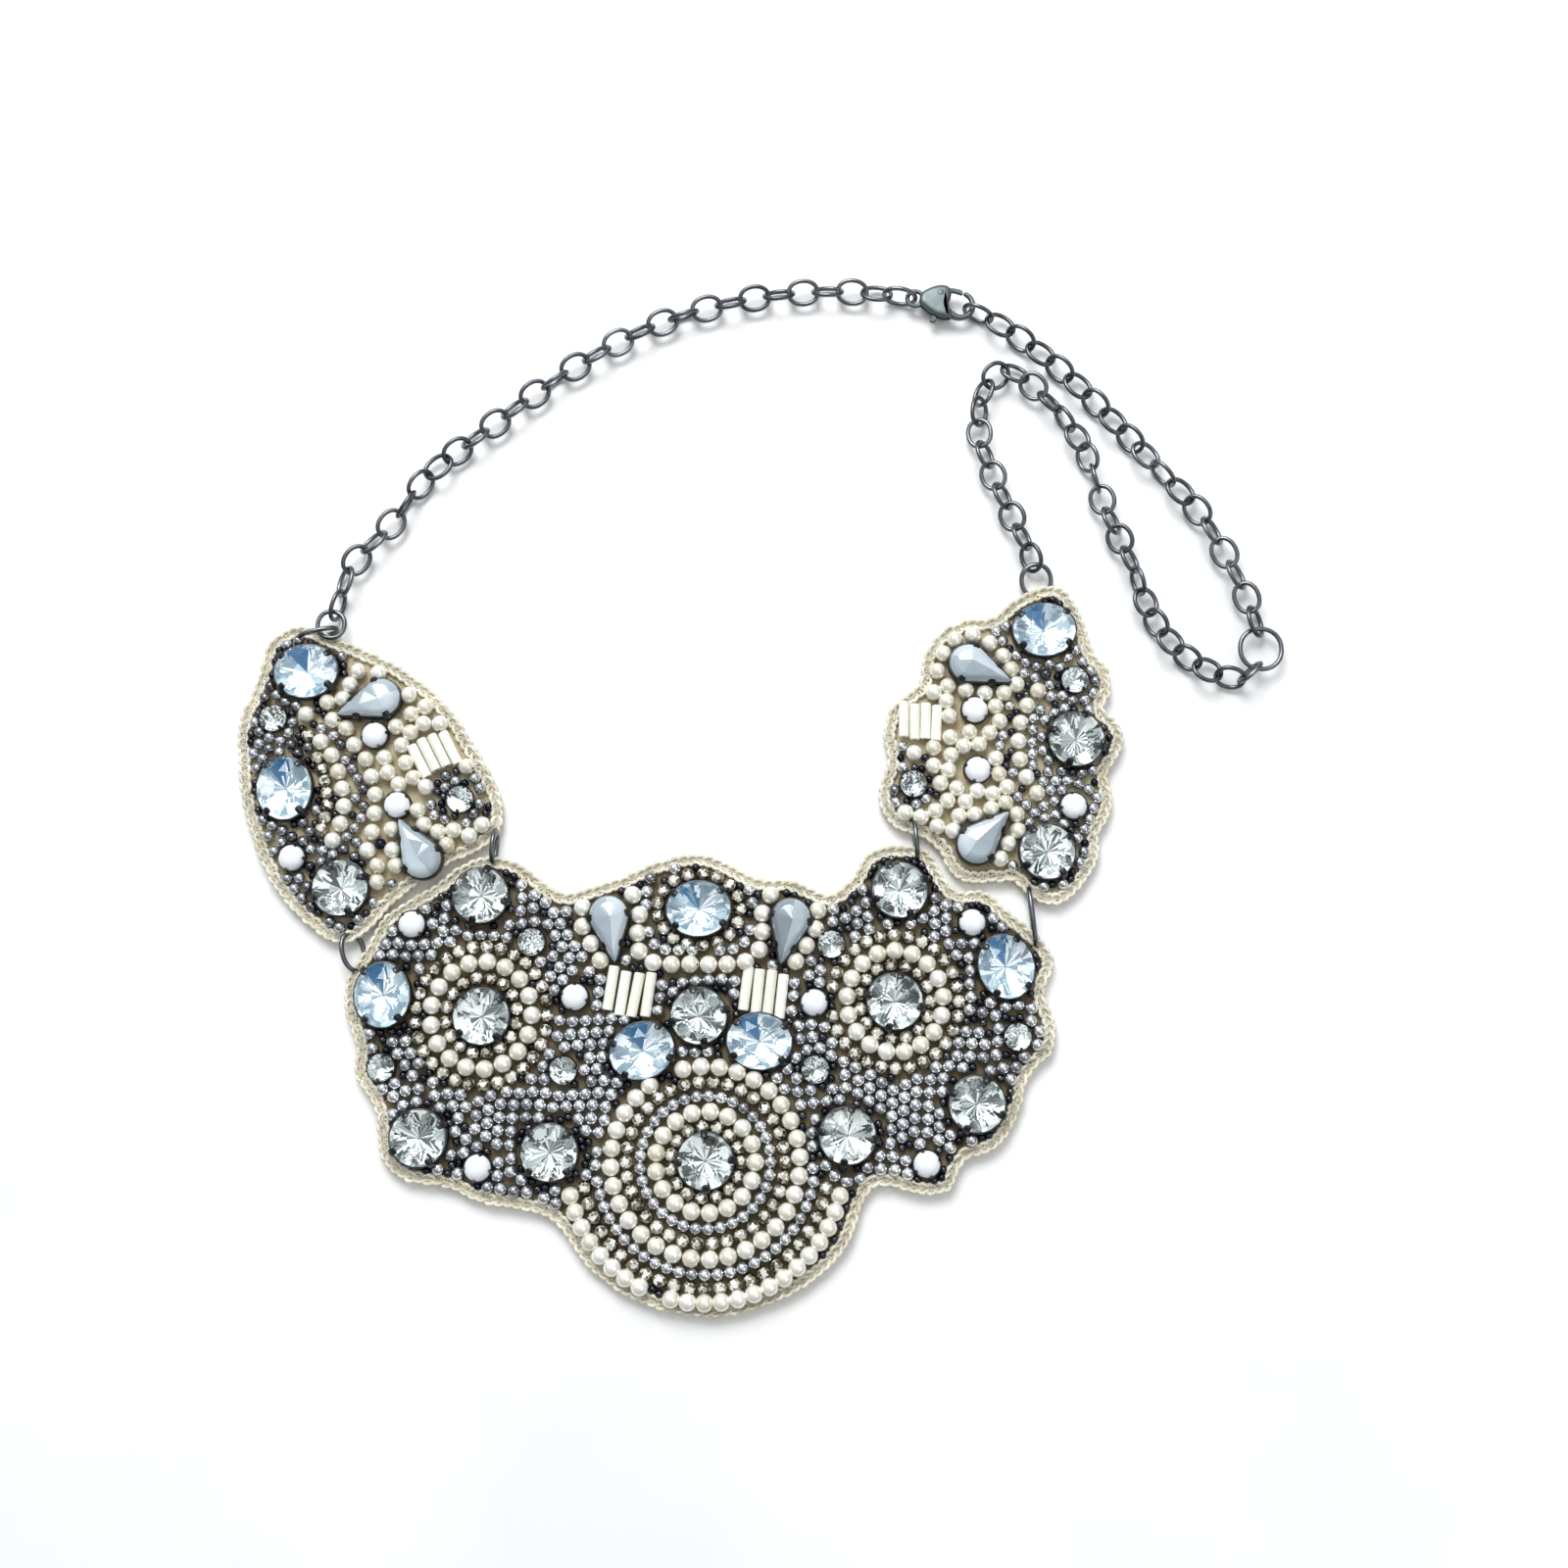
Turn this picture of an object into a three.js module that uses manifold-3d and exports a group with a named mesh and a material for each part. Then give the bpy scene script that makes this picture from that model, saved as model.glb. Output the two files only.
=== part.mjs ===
// Bib necklace laid flat on a table: three beaded felt panels joined by wire rings,
// on a cable chain whose extender a lobster clasp closes.
// Millimetres, +Z up. The necklace lies in the XY plane with its backs on z = 0, the
// wearer's neck side towards +Y, and the origin is the middle of its outline.

import * as THREE from "three";
import { mergeVertices } from "three/addons/utils/BufferGeometryUtils.js";
import Module from "manifold-3d";

const wasm = await Module();
wasm.setup();

// ---------------------------------------------------------------- driving sizes

const GAP = 0.3; // air left between neighbouring pieces
const SLIVER = 0.004; // surface detail finer than this is merged away

const FELT_TOP = 2.0; // felt backing, laid flat
const EDGING_WIDTH = 2.2; // crocheted border round each panel
const EDGING_TOP = 3.0;

const BED_BOTTOM = FELT_TOP + GAP; // the sewn bead layer: a bed and a raised field
const BED_TOP = 2.8;
const FIELD_TOP = 4.7;

const PLATE_BOTTOM = BED_TOP + GAP; // setting plates stand in pockets of the field
const PLATE_TOP = 3.9;
const PLATE_RIM = 1.0; // how far a plate reaches past its stone
const CLAW_WIDTH = 1.2;
const THREAD_WIDTH = 0.8; // the thread that runs from setting to setting
const THREAD_HEIGHT = 0.6;

const STONE_BOTTOM = PLATE_TOP + GAP;
const GIRDLE = 5.2;
const STONE_TOP = 7.9;

const SMALL_STONE = { radius: 2.9, tableRadius: 2, bottom: 4.2, top: 6.3, sides: 7 };
const BUGLE = { width: 2.3, bottom: 4.2, top: 5.6 };

const RING_WIRE = 1.1; // wire of the rings that join the panels
const CHAIN_WIRE = 1.2;
const CHAIN_LEVEL = 3.2; // height of the chain's centre line
const LINK_WIDTH = 5.2; // between wire centres
const TOUCH_RANGE = [2.3, 3.2]; // link centre to the joint with a link that it is fused to
const BITE = 0.475; // how far a link's end reaches past a joint
const SLACK = 0.3; // how much closer the joint is where a link only passes through
const LIES = { F: 20, M: 35, S: 50, E: 78 }; // flat, middling, steep, on edge: degrees

// ---------------------------------------------------------------- tables

// Outlines, clockwise from above: [x, y] of each turn of the border.
const OUTLINES = {
  left: [
    [-104, 33.5], [-94.5, 30.5], [-83, 25.5], [-71.5, 17], [-64, 7], [-57.2, -7],
    [-57.8, -13], [-61.5, -16.8], [-70.5, -21], [-80, -28.5], [-87, -35.8], [-92, -37.5],
    [-100.5, -32], [-107, -24.5], [-113.5, -9.5], [-115.7, 2], [-116, 11],
    [-112.5, 21.5], [-110, 30],
  ],
  right: [
    [60, 41.8], [67, 42.3], [72, 34], [73.3, 28.2], [77, 23.3], [77.2, 18.5],
    [75.8, 14.7], [79, 11], [79.6, 6], [76, -0.5], [77, -5], [76, -10], [73.8, -13.5],
    [73.5, -19], [67.5, -27.3], [62, -29], [58, -27], [54.8, -24], [51, -24.2],
    [45.5, -24.2], [42, -23], [39, -18], [35, -14.2], [30, -12.6], [26.5, -9], [25.5, -4],
    [27.5, 2], [26.8, 10], [29, 15.5], [34.5, 20.5], [36, 27], [39.5, 32], [45, 35],
    [51, 35.5], [55.5, 39],
  ],
  centre: [
    [-86, -38.5], [-82.5, -31.8], [-76.5, -27.7], [-71, -24.3], [-66.5, -20.8],
    [-61.5, -18.6], [-54, -19.5], [-48, -23.6], [-43.5, -26.3], [-39, -25.5],
    [-30, -22.5], [-23, -19.5], [-15, -17.8], [-8, -19.5], [-1, -23.3], [6, -23.5],
    [14.8, -26.5], [20, -22.5], [22.8, -18], [27, -16.2], [31.5, -15.9], [35.3, -16.6],
    [38, -19.5], [40, -23.5], [42.5, -25.9], [48, -25.9], [54.5, -31.3], [61, -37],
    [63.3, -41.5], [61, -48], [63.2, -55], [62.5, -60.5], [57.5, -66], [54.7, -74.5],
    [50, -81.3], [43.3, -84], [40, -89.8], [34.5, -91], [25.5, -89], [22.5, -91],
    [18, -101.5], [11.5, -108.3], [-1, -114.3], [-12, -116], [-25, -113.2],
    [-36, -106.5], [-43, -97.5], [-47, -95], [-61, -92.2], [-66, -89.8],
    [-76.5, -87.6], [-81, -83.5], [-82.7, -73.5], [-87.3, -65.5], [-87.3, -60],
    [-90, -52], [-90, -45],
  ],
};
const OUTLINE_STEPS = { left: 38, right: 56, centre: 88 };

// The cuts of the large stones: length along the stone's own X, and width.
const CUTS = {
  oval: { length: 14, width: 12, sides: 12 },
  round: { length: 12, width: 12, sides: 10 },
  drop: { length: 14.5, width: 8.5, sides: 10 },
};

// Large stones in claw settings, in the order that the thread visits them.
// turn is the bearing of the stone's long axis (a drop's tip) in degrees from +X.
const LARGE_STONES = {
  left: [
    { name: "stone_left_top", cut: "oval", x: -101.2, y: 22.7, turn: 0 },
    { name: "drop_left_upper", cut: "drop", x: -87, y: 15.5, turn: 202 },
    { name: "stone_left_side", cut: "oval", x: -104.8, y: -3.6, turn: 90 },
    { name: "stone_left_bottom", cut: "round", x: -91.7, y: -25.6, turn: 0 },
    { name: "drop_left_lower", cut: "drop", x: -75.6, y: -16.8, turn: 122 },
  ],
  right: [
    { name: "stone_right_top", cut: "oval", x: 62.6, y: 32.2, turn: 0 },
    { name: "drop_right_upper", cut: "drop", x: 48.3, y: 23.3, turn: -24 },
    { name: "stone_right_side", cut: "round", x: 69.1, y: 7.4, turn: 0 },
    { name: "stone_right_bottom", cut: "round", x: 62.1, y: -17.6, turn: 0 },
    { name: "drop_right_lower", cut: "drop", x: 48.7, y: -14, turn: 46 },
  ],
  centre: [
    { name: "stone_upper_left", cut: "round", x: -61.2, y: -27.2, turn: 0 },
    { name: "stone_side_left", cut: "oval", x: -81.7, y: -48.7, turn: 90 },
    { name: "stone_circle_left", cut: "round", x: -60.3, y: -53.3, turn: 0 },
    { name: "stone_lower_left", cut: "round", x: -73, y: -79, turn: 0 },
    { name: "stone_lower_inner_left", cut: "round", x: -45.1, y: -82, turn: 0 },
    { name: "stone_oval_left", cut: "oval", x: -25.7, y: -60.6, turn: 18 },
    { name: "drop_centre_left", cut: "drop", x: -32.8, y: -34.5, turn: -81 },
    { name: "stone_top", cut: "oval", x: -13.8, y: -30.1, turn: 0 },
    { name: "stone_middle", cut: "round", x: -13.6, y: -53.2, turn: 0 },
    { name: "stone_circle_bottom", cut: "round", x: -12, y: -83.8, turn: 0 },
    { name: "stone_lower_inner_right", cut: "round", x: 18.2, y: -78.5, turn: 0 },
    { name: "stone_oval_right", cut: "oval", x: -0.6, y: -58.6, turn: -8 },
    { name: "drop_centre_right", cut: "drop", x: 5.6, y: -35, turn: -102 },
    { name: "stone_circle_right", cut: "round", x: 28.5, y: -50.1, turn: 0 },
    { name: "stone_upper_right", cut: "round", x: 29.8, y: -26, turn: 0 },
    { name: "stone_side_right", cut: "oval", x: 52.6, y: -42.6, turn: 100 },
    { name: "stone_lower_right", cut: "round", x: 45.8, y: -71.9, turn: 0 },
  ],
};

// Small claw-set stones, sewn into the field: [x, y].
const SMALL_STONES = {
  left: [[-108.2, 12.3], [-66.4, -5.9], [-85.6, 8.4], [-80.1, -7.2], [-102.7, -18.9]],
  right: [[69.2, 21], [33.1, -2.4], [68.2, -7.4], [46.9, 14.1], [47.3, 0.7]],
  centre: [
    [-50, -37.2], [-81.6, -64.1], [-42.6, -64.7], [14.9, -37.7], [11.4, -64.5],
    [54.9, -57.6], [-76, -33.4], [-40.4, -49.1], [11.2, -50.3], [45.5, -33],
    [-60.3, -85.2], [35, -84.4],
  ],
};

// Groups of four bugle beads side by side: middle of the group, bead length, bearing of
// the beads and the distance from bead to bead.
const BUGLE_GROUPS = {
  left: [{ x: -72.2, y: 4, length: 8, turn: -62, pitch: 2.5 }],
  right: [{ x: 34.8, y: 11.6, length: 8, turn: 88, pitch: 2.5 }],
  centre: [
    { x: -28.6, y: -47.8, length: 10, turn: 84, pitch: 2.75 },
    { x: 0.3, y: -48.2, length: 10, turn: 84, pitch: 2.6 },
  ],
};
const BUGLES_IN_GROUP = 4;

// Wire rings: middle, length and width between wire centres, bearing of the length,
// roll out of the floor's plane, pitch of the length axis.
const RINGS = {
  ring_inner_left: { x: -58.7, y: -16.2, z: 3.2, length: 7, width: 5.2, turn: 86, roll: 88 },
  ring_outer_left: { x: -88.9, y: -39.2, z: 2.3, length: 8.3, width: 5.2, turn: 105, roll: 40 },
  ring_inner_right: { x: 33.6, y: -14.9, z: 3.2, length: 8, width: 5.2, turn: 94, roll: 88 },
  ring_outer_right: { x: 58.7, y: -31.7, z: 3.2, length: 12.4, width: 5.2, turn: 96, roll: 84 },
  bail_left: { x: -99.4, y: 31.7, z: 3.2, length: 8.8, width: 5.2, turn: 14, roll: 88 },
  jump_ring_left: { x: -96.3, y: 33.6, z: 3.9, length: 6, width: 6, turn: 78, roll: 0 },
  jump_ring_right: {
    x: 61.4, y: 44.2, z: 2.35, length: 7.2, width: 6.6, turn: 94, roll: 0, pitch: 15,
  },
};

// The chain's routes from joint to joint: [x, y] of each bend.
const ROUTES = {
  left: [
    [-95.9, 35.8], [-94.6, 40], [-92.3, 48], [-85, 55.5], [-76, 68.5], [-63.5, 79],
    [-45.5, 93], [-25.5, 104.5], [-4, 111], [15, 113], [28.6, 112.25],
  ],
  extender: [
    [47.05, 108.65], [51.5, 106.7], [60.3, 100.5], [68.4, 93.6], [80, 81.3], [90.6, 69],
    [98.5, 60], [104, 50], [108.7, 39.3], [110.6, 32],
  ],
  right: [
    [110, 24.4], [108.6, 21.2], [99.5, 23], [94, 26.5], [87, 35.5], [83.2, 47],
    [77, 61.7], [73.3, 74], [68.5, 82.5], [62, 89.5], [56.8, 94.2], [52.5, 92.8],
    [49.8, 87], [48.8, 80], [51, 71.5], [55.3, 61], [59.5, 51.5], [61.1, 47.1],
  ],
};

// Runs of links that are one solid, along each route: name and number of links.
const RUNS = {
  left: [["chain_left_lower", 9], ["chain_left_middle", 10], ["chain_left_upper", 9]],
  extender: [["extender_upper", 9], ["extender_lower", 9]],
  right: [["chain_right_outer", 10], ["chain_right_middle", 11], ["chain_right_inner", 8]],
};

// How each link of a route lies, by its letter in LIES; links roll left and right in turn.
const ROLLS = {
  left: "ESFSFESFMSFSFEFSFSFEFSFSFSFM",
  extender: "EFSFSFSFSFEFMSFSFS",
  right: "ESFSFSFESFSFESFESFMFSSFSFSFSS",
};

const END_RING = { x: 111, y: 28.2, z: CHAIN_LEVEL, length: 9.2, width: 9.2 };

// Lobster clasp, in its own frame: middle of the hook's eye at the origin, tail to -X.
const CLASP = {
  x: 45.2, y: 109.6, turn: -9,
  eyeInner: 2.4, eyeOuter: 3.6, hookHalf: 0.7, hookFrom: -128, hookTo: 76,
  bodyHalf: 1.6, slotHalf: 0.8, leverHalf: 0.5,
  pivotX: -4.8, pivotY: 1.8, pin: 0.6, leverBore: 0.9, leverBoss: 1.4,
  tailX: -10.4, tailInner: 1.3, tailOuter: 2.3, tailHalf: 0.7,
};
const CLASP_BODY = [
  [-9.2, 1.1], [-7.2, 2.9], [-4.8, 3.9], [-3, 3.6], [-2.3, 2], [-2.6, 0],
  [-2.1, -1.6], [-1.5, -3.2], [-3.2, -3.9], [-6, -3.3], [-8, -2.1], [-9.2, -1.1],
];
const LEVER = [
  [-5.2, 3.1], [-2.4, 3.75], [0.1, 3.45], [0.3, 2.6], [-2.2, 2.75], [-3.7, 1.6],
  [-4.4, 0.6], [-4.9, -3.4], [-5, -4.9], [-5.9, -5.2], [-6.3, -4.9], [-5.9, -3.4],
  [-5.5, 0.6], [-6.1, 1.9],
];
const CLASP_TAIL_LINK = { length: 7.2, width: 4.8, roll: 68 };

// ---------------------------------------------------------------- looks

const steel = { color: 0x53565a, metalness: 0.9, roughness: 0.35 };
const LOOKS = {
  felt: { color: 0xd8cda8, metalness: 0, roughness: 1 },
  yarn: { color: 0xe0d6b4, metalness: 0, roughness: 0.95 },
  beads: { color: 0xb9b9c4, metalness: 0.7, roughness: 0.3 },
  setting: { color: 0x3c3e41, metalness: 0.9, roughness: 0.4 },
  crystal: { color: 0xc3d6e2, metalness: 0.1, roughness: 0.05 },
  opal: { color: 0xa9bccb, metalness: 0, roughness: 0.15 },
  chain: steel,
  clasp: { ...steel, color: 0x63676b },
};

const necklace = new THREE.Group();

function add(name, geometry, look) {
  const mesh = new THREE.Mesh(geometry, new THREE.MeshStandardMaterial(LOOKS[look]));
  mesh.name = name;
  necklace.add(mesh);
}

// ---------------------------------------------------------------- solids

function toSolid(geometry) {
  const bare = new THREE.BufferGeometry();
  bare.setAttribute("position", geometry.getAttribute("position"));
  bare.setIndex(geometry.getIndex());
  const merged = mergeVertices(bare, 1e-4);
  return new wasm.Manifold(new wasm.Mesh({
    numProp: 3,
    vertProperties: new Float32Array(merged.getAttribute("position").array),
    triVerts: new Uint32Array(merged.getIndex().array),
  }));
}

function toGeometry(solid) {
  const mesh = solid.asOriginal().simplify(SLIVER).getMesh();
  const geometry = new THREE.BufferGeometry();
  geometry.setAttribute("position", new THREE.BufferAttribute(mesh.vertProperties, 3));
  geometry.setIndex(new THREE.BufferAttribute(mesh.triVerts, 1));
  geometry.computeVertexNormals();
  return geometry;
}

function joined(geometries) {
  return geometries.map(toSolid).reduce((sum, solid) => sum.add(solid));
}

function cut(solid, tools) {
  return tools.reduce((rest, tool) => rest.subtract(tool), solid);
}

// An upright prism on a closed outline, between two heights.
function slab(outline, low, high) {
  const geometry = new THREE.ExtrudeGeometry(new THREE.Shape(outline), {
    depth: high - low,
    bevelEnabled: false,
  });
  return geometry.translate(0, 0, low);
}

// What is left of such a prism when a narrower outline is cut right through it.
function slabRing(outline, hole, low, high) {
  return toSolid(slab(outline, low, high)).subtract(toSolid(slab(hole, low - 1, high + 1)));
}

// A convex outline, counterclockwise, stacked up through levels of { z, scale }.
function stacked(outline, levels) {
  const count = outline.length;
  const positions = levels.flatMap(({ z, scale }) =>
    outline.flatMap((point) => [point.x * scale, point.y * scale, z]));
  const index = [];
  for (let side = 1; side < count - 1; side++) {
    const top = (levels.length - 1) * count;
    index.push(0, side + 1, side, top, top + side, top + side + 1);
  }
  for (let level = 0; level < levels.length - 1; level++) {
    for (let side = 0; side < count; side++) {
      const a = level * count + side;
      const b = level * count + ((side + 1) % count);
      index.push(a, b, b + count, a, b + count, a + count);
    }
  }
  const geometry = new THREE.BufferGeometry();
  geometry.setAttribute("position", new THREE.Float32BufferAttribute(positions, 3));
  geometry.setIndex(index);
  geometry.computeVertexNormals();
  return geometry;
}

// A closed outline with each edge moved outwards by a distance.
function grown(outline, distance) {
  const count = outline.length;
  const side = THREE.ShapeUtils.isClockWise(outline) ? -1 : 1;
  const normals = outline.map((point, i) => {
    const edge = outline[(i + 1) % count].clone().sub(point).normalize();
    return new THREE.Vector2(edge.y * side, -edge.x * side);
  });
  return outline.map((point, i) => {
    const before = normals[(i + count - 1) % count];
    const mitre = before.clone().add(normals[i]).divideScalar(1 + before.dot(normals[i]));
    return point.clone().addScaledVector(mitre, distance);
  });
}

function turned(geometry, { x, y, turn }) {
  return geometry
    .rotateZ(THREE.MathUtils.degToRad(turn))
    .translate(x, y, 0);
}

// ---------------------------------------------------------------- stones and settings

// A cut's girdle, counterclockwise about the middle of its length.
function girdle({ length, width, sides }, isDrop) {
  const points = [];
  if (!isDrop) {
    for (let i = 0; i < sides; i++) {
      const angle = ((i + 0.5) / sides) * 2 * Math.PI;
      points.push(new THREE.Vector2(
        (length / 2) * Math.cos(angle), (width / 2) * Math.sin(angle)));
    }
    return points;
  }
  // A round end, and two straight flanks that run from it to a blunt tip.
  const radius = width / 2;
  const roundX = radius - length / 2;
  const flank = Math.acos(radius / (length - radius));
  points.push(new THREE.Vector2(length / 2, -0.4), new THREE.Vector2(length / 2, 0.4));
  for (let i = 0; i < sides - 2; i++) {
    const angle = flank + (i / (sides - 3)) * 2 * (Math.PI - flank);
    points.push(new THREE.Vector2(
      roundX + radius * Math.cos(angle), radius * Math.sin(angle)));
  }
  return points;
}

const girdleOf = (stone) => girdle(CUTS[stone.cut], stone.cut === "drop");

function stoneBody(stone) {
  const drop = stone.cut === "drop";
  return turned(stacked(girdleOf(stone), [
    { z: STONE_BOTTOM, scale: 0.7 },
    { z: GIRDLE, scale: 1 },
    { z: STONE_TOP, scale: drop ? 0.45 : 0.58 },
  ]), stone);
}

// A claw stands on the plate's rim and bends over the stone's girdle.
// Its section is drawn with x outwards from the girdle and y up.
const CLAW_SECTION = [
  [GAP + 0.1, 3.5], [PLATE_RIM - 0.1, 3.5], [PLATE_RIM - 0.1, 6.3], [-0.6, 7.4],
  [GAP + 0.1, 5.9],
].map(([x, y]) => new THREE.Vector2(x, y));

function claw(foot, outward) {
  const section = new THREE.ExtrudeGeometry(new THREE.Shape(CLAW_SECTION), {
    depth: CLAW_WIDTH,
    bevelEnabled: false,
  });
  section.translate(0, 0, -CLAW_WIDTH / 2);
  const out = new THREE.Vector3(outward.x, outward.y, 0);
  const up = new THREE.Vector3(0, 0, 1);
  const along = new THREE.Vector3().crossVectors(out, up);
  const place = new THREE.Matrix4().makeBasis(out, up, along);
  return section.applyMatrix4(place).translate(foot.x, foot.y, 0);
}

// Share of the way round the girdle at which each of a cut's claws stands.
const CLAWS = {
  oval: [0.12, 0.38, 0.62, 0.88],
  round: [0.125, 0.375, 0.625, 0.875],
  drop: [0.1, 0.4, 0.68, 0.97],
};

function settingPieces(stone) {
  const outline = girdleOf(stone);
  const plate = stacked(grown(outline, PLATE_RIM), [
    { z: PLATE_BOTTOM, scale: 1 },
    { z: PLATE_TOP, scale: 1 },
  ]);
  const pieces = [plate];
  for (const share of CLAWS[stone.cut]) {
    const at = Math.floor(share * outline.length);
    const next = (at + 1) % outline.length;
    const foot = outline[at].clone().add(outline[next]).multiplyScalar(0.5);
    const edge = outline[next].clone().sub(outline[at]).normalize();
    pieces.push(claw(foot, new THREE.Vector2(edge.y, -edge.x)));
  }
  return pieces.map((piece) => turned(piece, stone));
}

// A straight bar from one stone's middle to the next.
function threadBar(from, to, width, low, high) {
  const length = Math.hypot(to.x - from.x, to.y - from.y);
  const bar = new THREE.BoxGeometry(length, width, high - low);
  bar.translate(0, 0, (low + high) / 2);
  bar.rotateZ(Math.atan2(to.y - from.y, to.x - from.x));
  return bar.translate((from.x + to.x) / 2, (from.y + to.y) / 2, 0);
}

function threadBars(stones, width, low, high) {
  return stones.slice(1).map((stone, i) => threadBar(stones[i], stone, width, low, high));
}

// ---------------------------------------------------------------- wire

// A closed wire loop in the XY plane, long along X, sized between wire centres.
function wireLoop({ length, width }, wire, segments = 8) {
  const radius = width / 2 / Math.cos(Math.PI / segments);
  const loop = new THREE.TorusGeometry(radius, wire / 2, 4, segments);
  loop.rotateZ(Math.PI / segments);
  const stretch = (length - width) / 2;
  const position = loop.getAttribute("position");
  for (let i = 0; i < position.count; i++) {
    const x = position.getX(i);
    position.setX(i, x + Math.sign(x) * stretch);
  }
  return loop;
}

// Lays a loop's length along a bearing, rolls it about that axis and lifts one end.
function laid(loop, { x, y, z, turn = 0, roll = 0, pitch = 0 }) {
  loop.rotateX(THREE.MathUtils.degToRad(roll));
  loop.rotateY(-THREE.MathUtils.degToRad(pitch));
  loop.rotateZ(THREE.MathUtils.degToRad(turn));
  return loop.translate(x, y, z);
}

// ---------------------------------------------------------------- panels

const ringChannels = Object.values(RINGS).map((ring) =>
  toSolid(laid(wireLoop(ring, RING_WIRE + 2 * GAP + 0.1), ring)));

function panelOutline(side) {
  const points = OUTLINES[side].map(([x, y]) => new THREE.Vector3(x, y, 0));
  const curve = new THREE.CatmullRomCurve3(points, true, "centripetal");
  return curve.getSpacedPoints(OUTLINE_STEPS[side]).slice(0, -1)
    .map((point) => new THREE.Vector2(point.x, point.y));
}

function bugles({ x, y, length, turn, pitch }) {
  return Array.from({ length: BUGLES_IN_GROUP }, (_, i) => {
    const bead = new THREE.BoxGeometry(length, BUGLE.width, BUGLE.top - BUGLE.bottom);
    bead.translate(0, (i - (BUGLES_IN_GROUP - 1) / 2) * pitch, 0);
    bead.translate(0, 0, (BUGLE.bottom + BUGLE.top) / 2);
    return turned(bead, { x, y, turn });
  });
}

function smallStone([x, y]) {
  const rim = girdle({
    length: 2 * SMALL_STONE.radius, width: 2 * SMALL_STONE.radius, sides: SMALL_STONE.sides,
  }, false);
  return stacked(rim, [
    { z: SMALL_STONE.bottom, scale: 1 },
    { z: SMALL_STONE.top, scale: SMALL_STONE.tableRadius / SMALL_STONE.radius },
  ]).translate(x, y, 0);
}

for (const side of ["left", "right", "centre"]) {
  const border = panelOutline(side);
  const inside = grown(border, -(EDGING_WIDTH + GAP));
  const stones = LARGE_STONES[side];

  const felt = toSolid(slab(inside, 0, FELT_TOP));
  add(`panel_${side}`, toGeometry(cut(felt, ringChannels)), "felt");

  const braid = slabRing(border, grown(border, -EDGING_WIDTH), 0, EDGING_TOP);
  add(`edging_${side}`, toGeometry(cut(braid, ringChannels)), "yarn");

  const pockets = stones.map((stone) => toSolid(turned(
    stacked(grown(girdleOf(stone), PLATE_RIM + GAP), [
      { z: BED_TOP, scale: 1 },
      { z: STONE_TOP, scale: 1 },
    ]), stone)));
  const tunnels = threadBars(
    stones, THREAD_WIDTH + 2 * GAP, BED_TOP, PLATE_BOTTOM + THREAD_HEIGHT + GAP);
  const field = joined([
    slab(inside, BED_BOTTOM, FIELD_TOP),
    ...SMALL_STONES[side].map(smallStone),
    ...BUGLE_GROUPS[side].flatMap(bugles),
  ]);
  const beading = cut(field, [...pockets, ...tunnels.map(toSolid), ...ringChannels]);
  add(`beading_${side}`, toGeometry(beading), "beads");

  const settings = joined([
    ...stones.flatMap(settingPieces),
    ...threadBars(stones, THREAD_WIDTH, PLATE_BOTTOM, PLATE_BOTTOM + THREAD_HEIGHT),
  ]);
  add(`settings_${side}`, toGeometry(settings), "setting");

  for (const stone of stones) {
    add(stone.name, stoneBody(stone), stone.cut === "drop" ? "opal" : "crystal");
  }
}

for (const [name, ring] of Object.entries(RINGS)) {
  add(name, laid(wireLoop(ring, RING_WIRE), ring), "chain");
}

// ---------------------------------------------------------------- chain

// The point further along a route at a given straight distance from one on it.
function stepAlong(samples, from, distance) {
  let i = from.index;
  while (i < samples.length - 1 && samples[i].distanceTo(from.point) < distance) i++;
  return { index: i, point: samples[i] };
}

// The joints between links, when each link's half lengths are laid end to end.
function joints(samples, spans) {
  let at = { index: 0, point: samples[0] };
  const points = [at.point];
  for (const span of spans) {
    at = stepAlong(samples, at, span);
    points.push(at.point);
  }
  return points;
}

// Half lengths at both ends of every link of a route: shorter where a run ends.
function linkSpans(runs, touch) {
  const clear = touch - SLACK;
  return runs.flatMap(([, count]) => Array.from({ length: count }, (_, i) =>
    [i === 0 ? clear : touch, i === count - 1 ? clear : touch]));
}

// The touching half length with which the links just fill the route.
function fittedTouch(samples, runs) {
  const end = samples[samples.length - 1];
  let [low, high] = TOUCH_RANGE;
  for (let i = 0; i < 30; i++) {
    const middle = (low + high) / 2;
    const spans = linkSpans(runs, middle).map(([a, b]) => a + b);
    const last = joints(samples, spans).pop();
    if (last.distanceTo(end) > 0.02) low = middle;
    else high = middle;
  }
  return low;
}

function rollOf(side, link) {
  const roll = LIES[ROLLS[side][link]];
  return link % 2 ? -roll : roll;
}

for (const [side, runs] of Object.entries(RUNS)) {
  const bends = ROUTES[side].map(([x, y]) => new THREE.Vector3(x, y, CHAIN_LEVEL));
  const samples = new THREE.CatmullRomCurve3(bends, false, "centripetal")
    .getSpacedPoints(12000);
  const touch = fittedTouch(samples, runs);
  const size = { length: 2 * (touch + BITE), width: LINK_WIDTH };
  const spans = linkSpans(runs, touch);
  const points = joints(samples, spans.map(([a, b]) => a + b));
  let link = 0;
  for (const [name, count] of runs) {
    const links = [];
    for (const last = link + count; link < last; link++) {
      const direction = points[link + 1].clone().sub(points[link]).normalize();
      const middle = points[link].clone().addScaledVector(direction, spans[link][0]);
      links.push(laid(wireLoop(size, CHAIN_WIRE), {
        x: middle.x,
        y: middle.y,
        z: CHAIN_LEVEL,
        turn: THREE.MathUtils.radToDeg(Math.atan2(direction.y, direction.x)),
        roll: rollOf(side, link),
      }));
    }
    add(name, toGeometry(joined(links)), "chain");
  }
}

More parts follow.
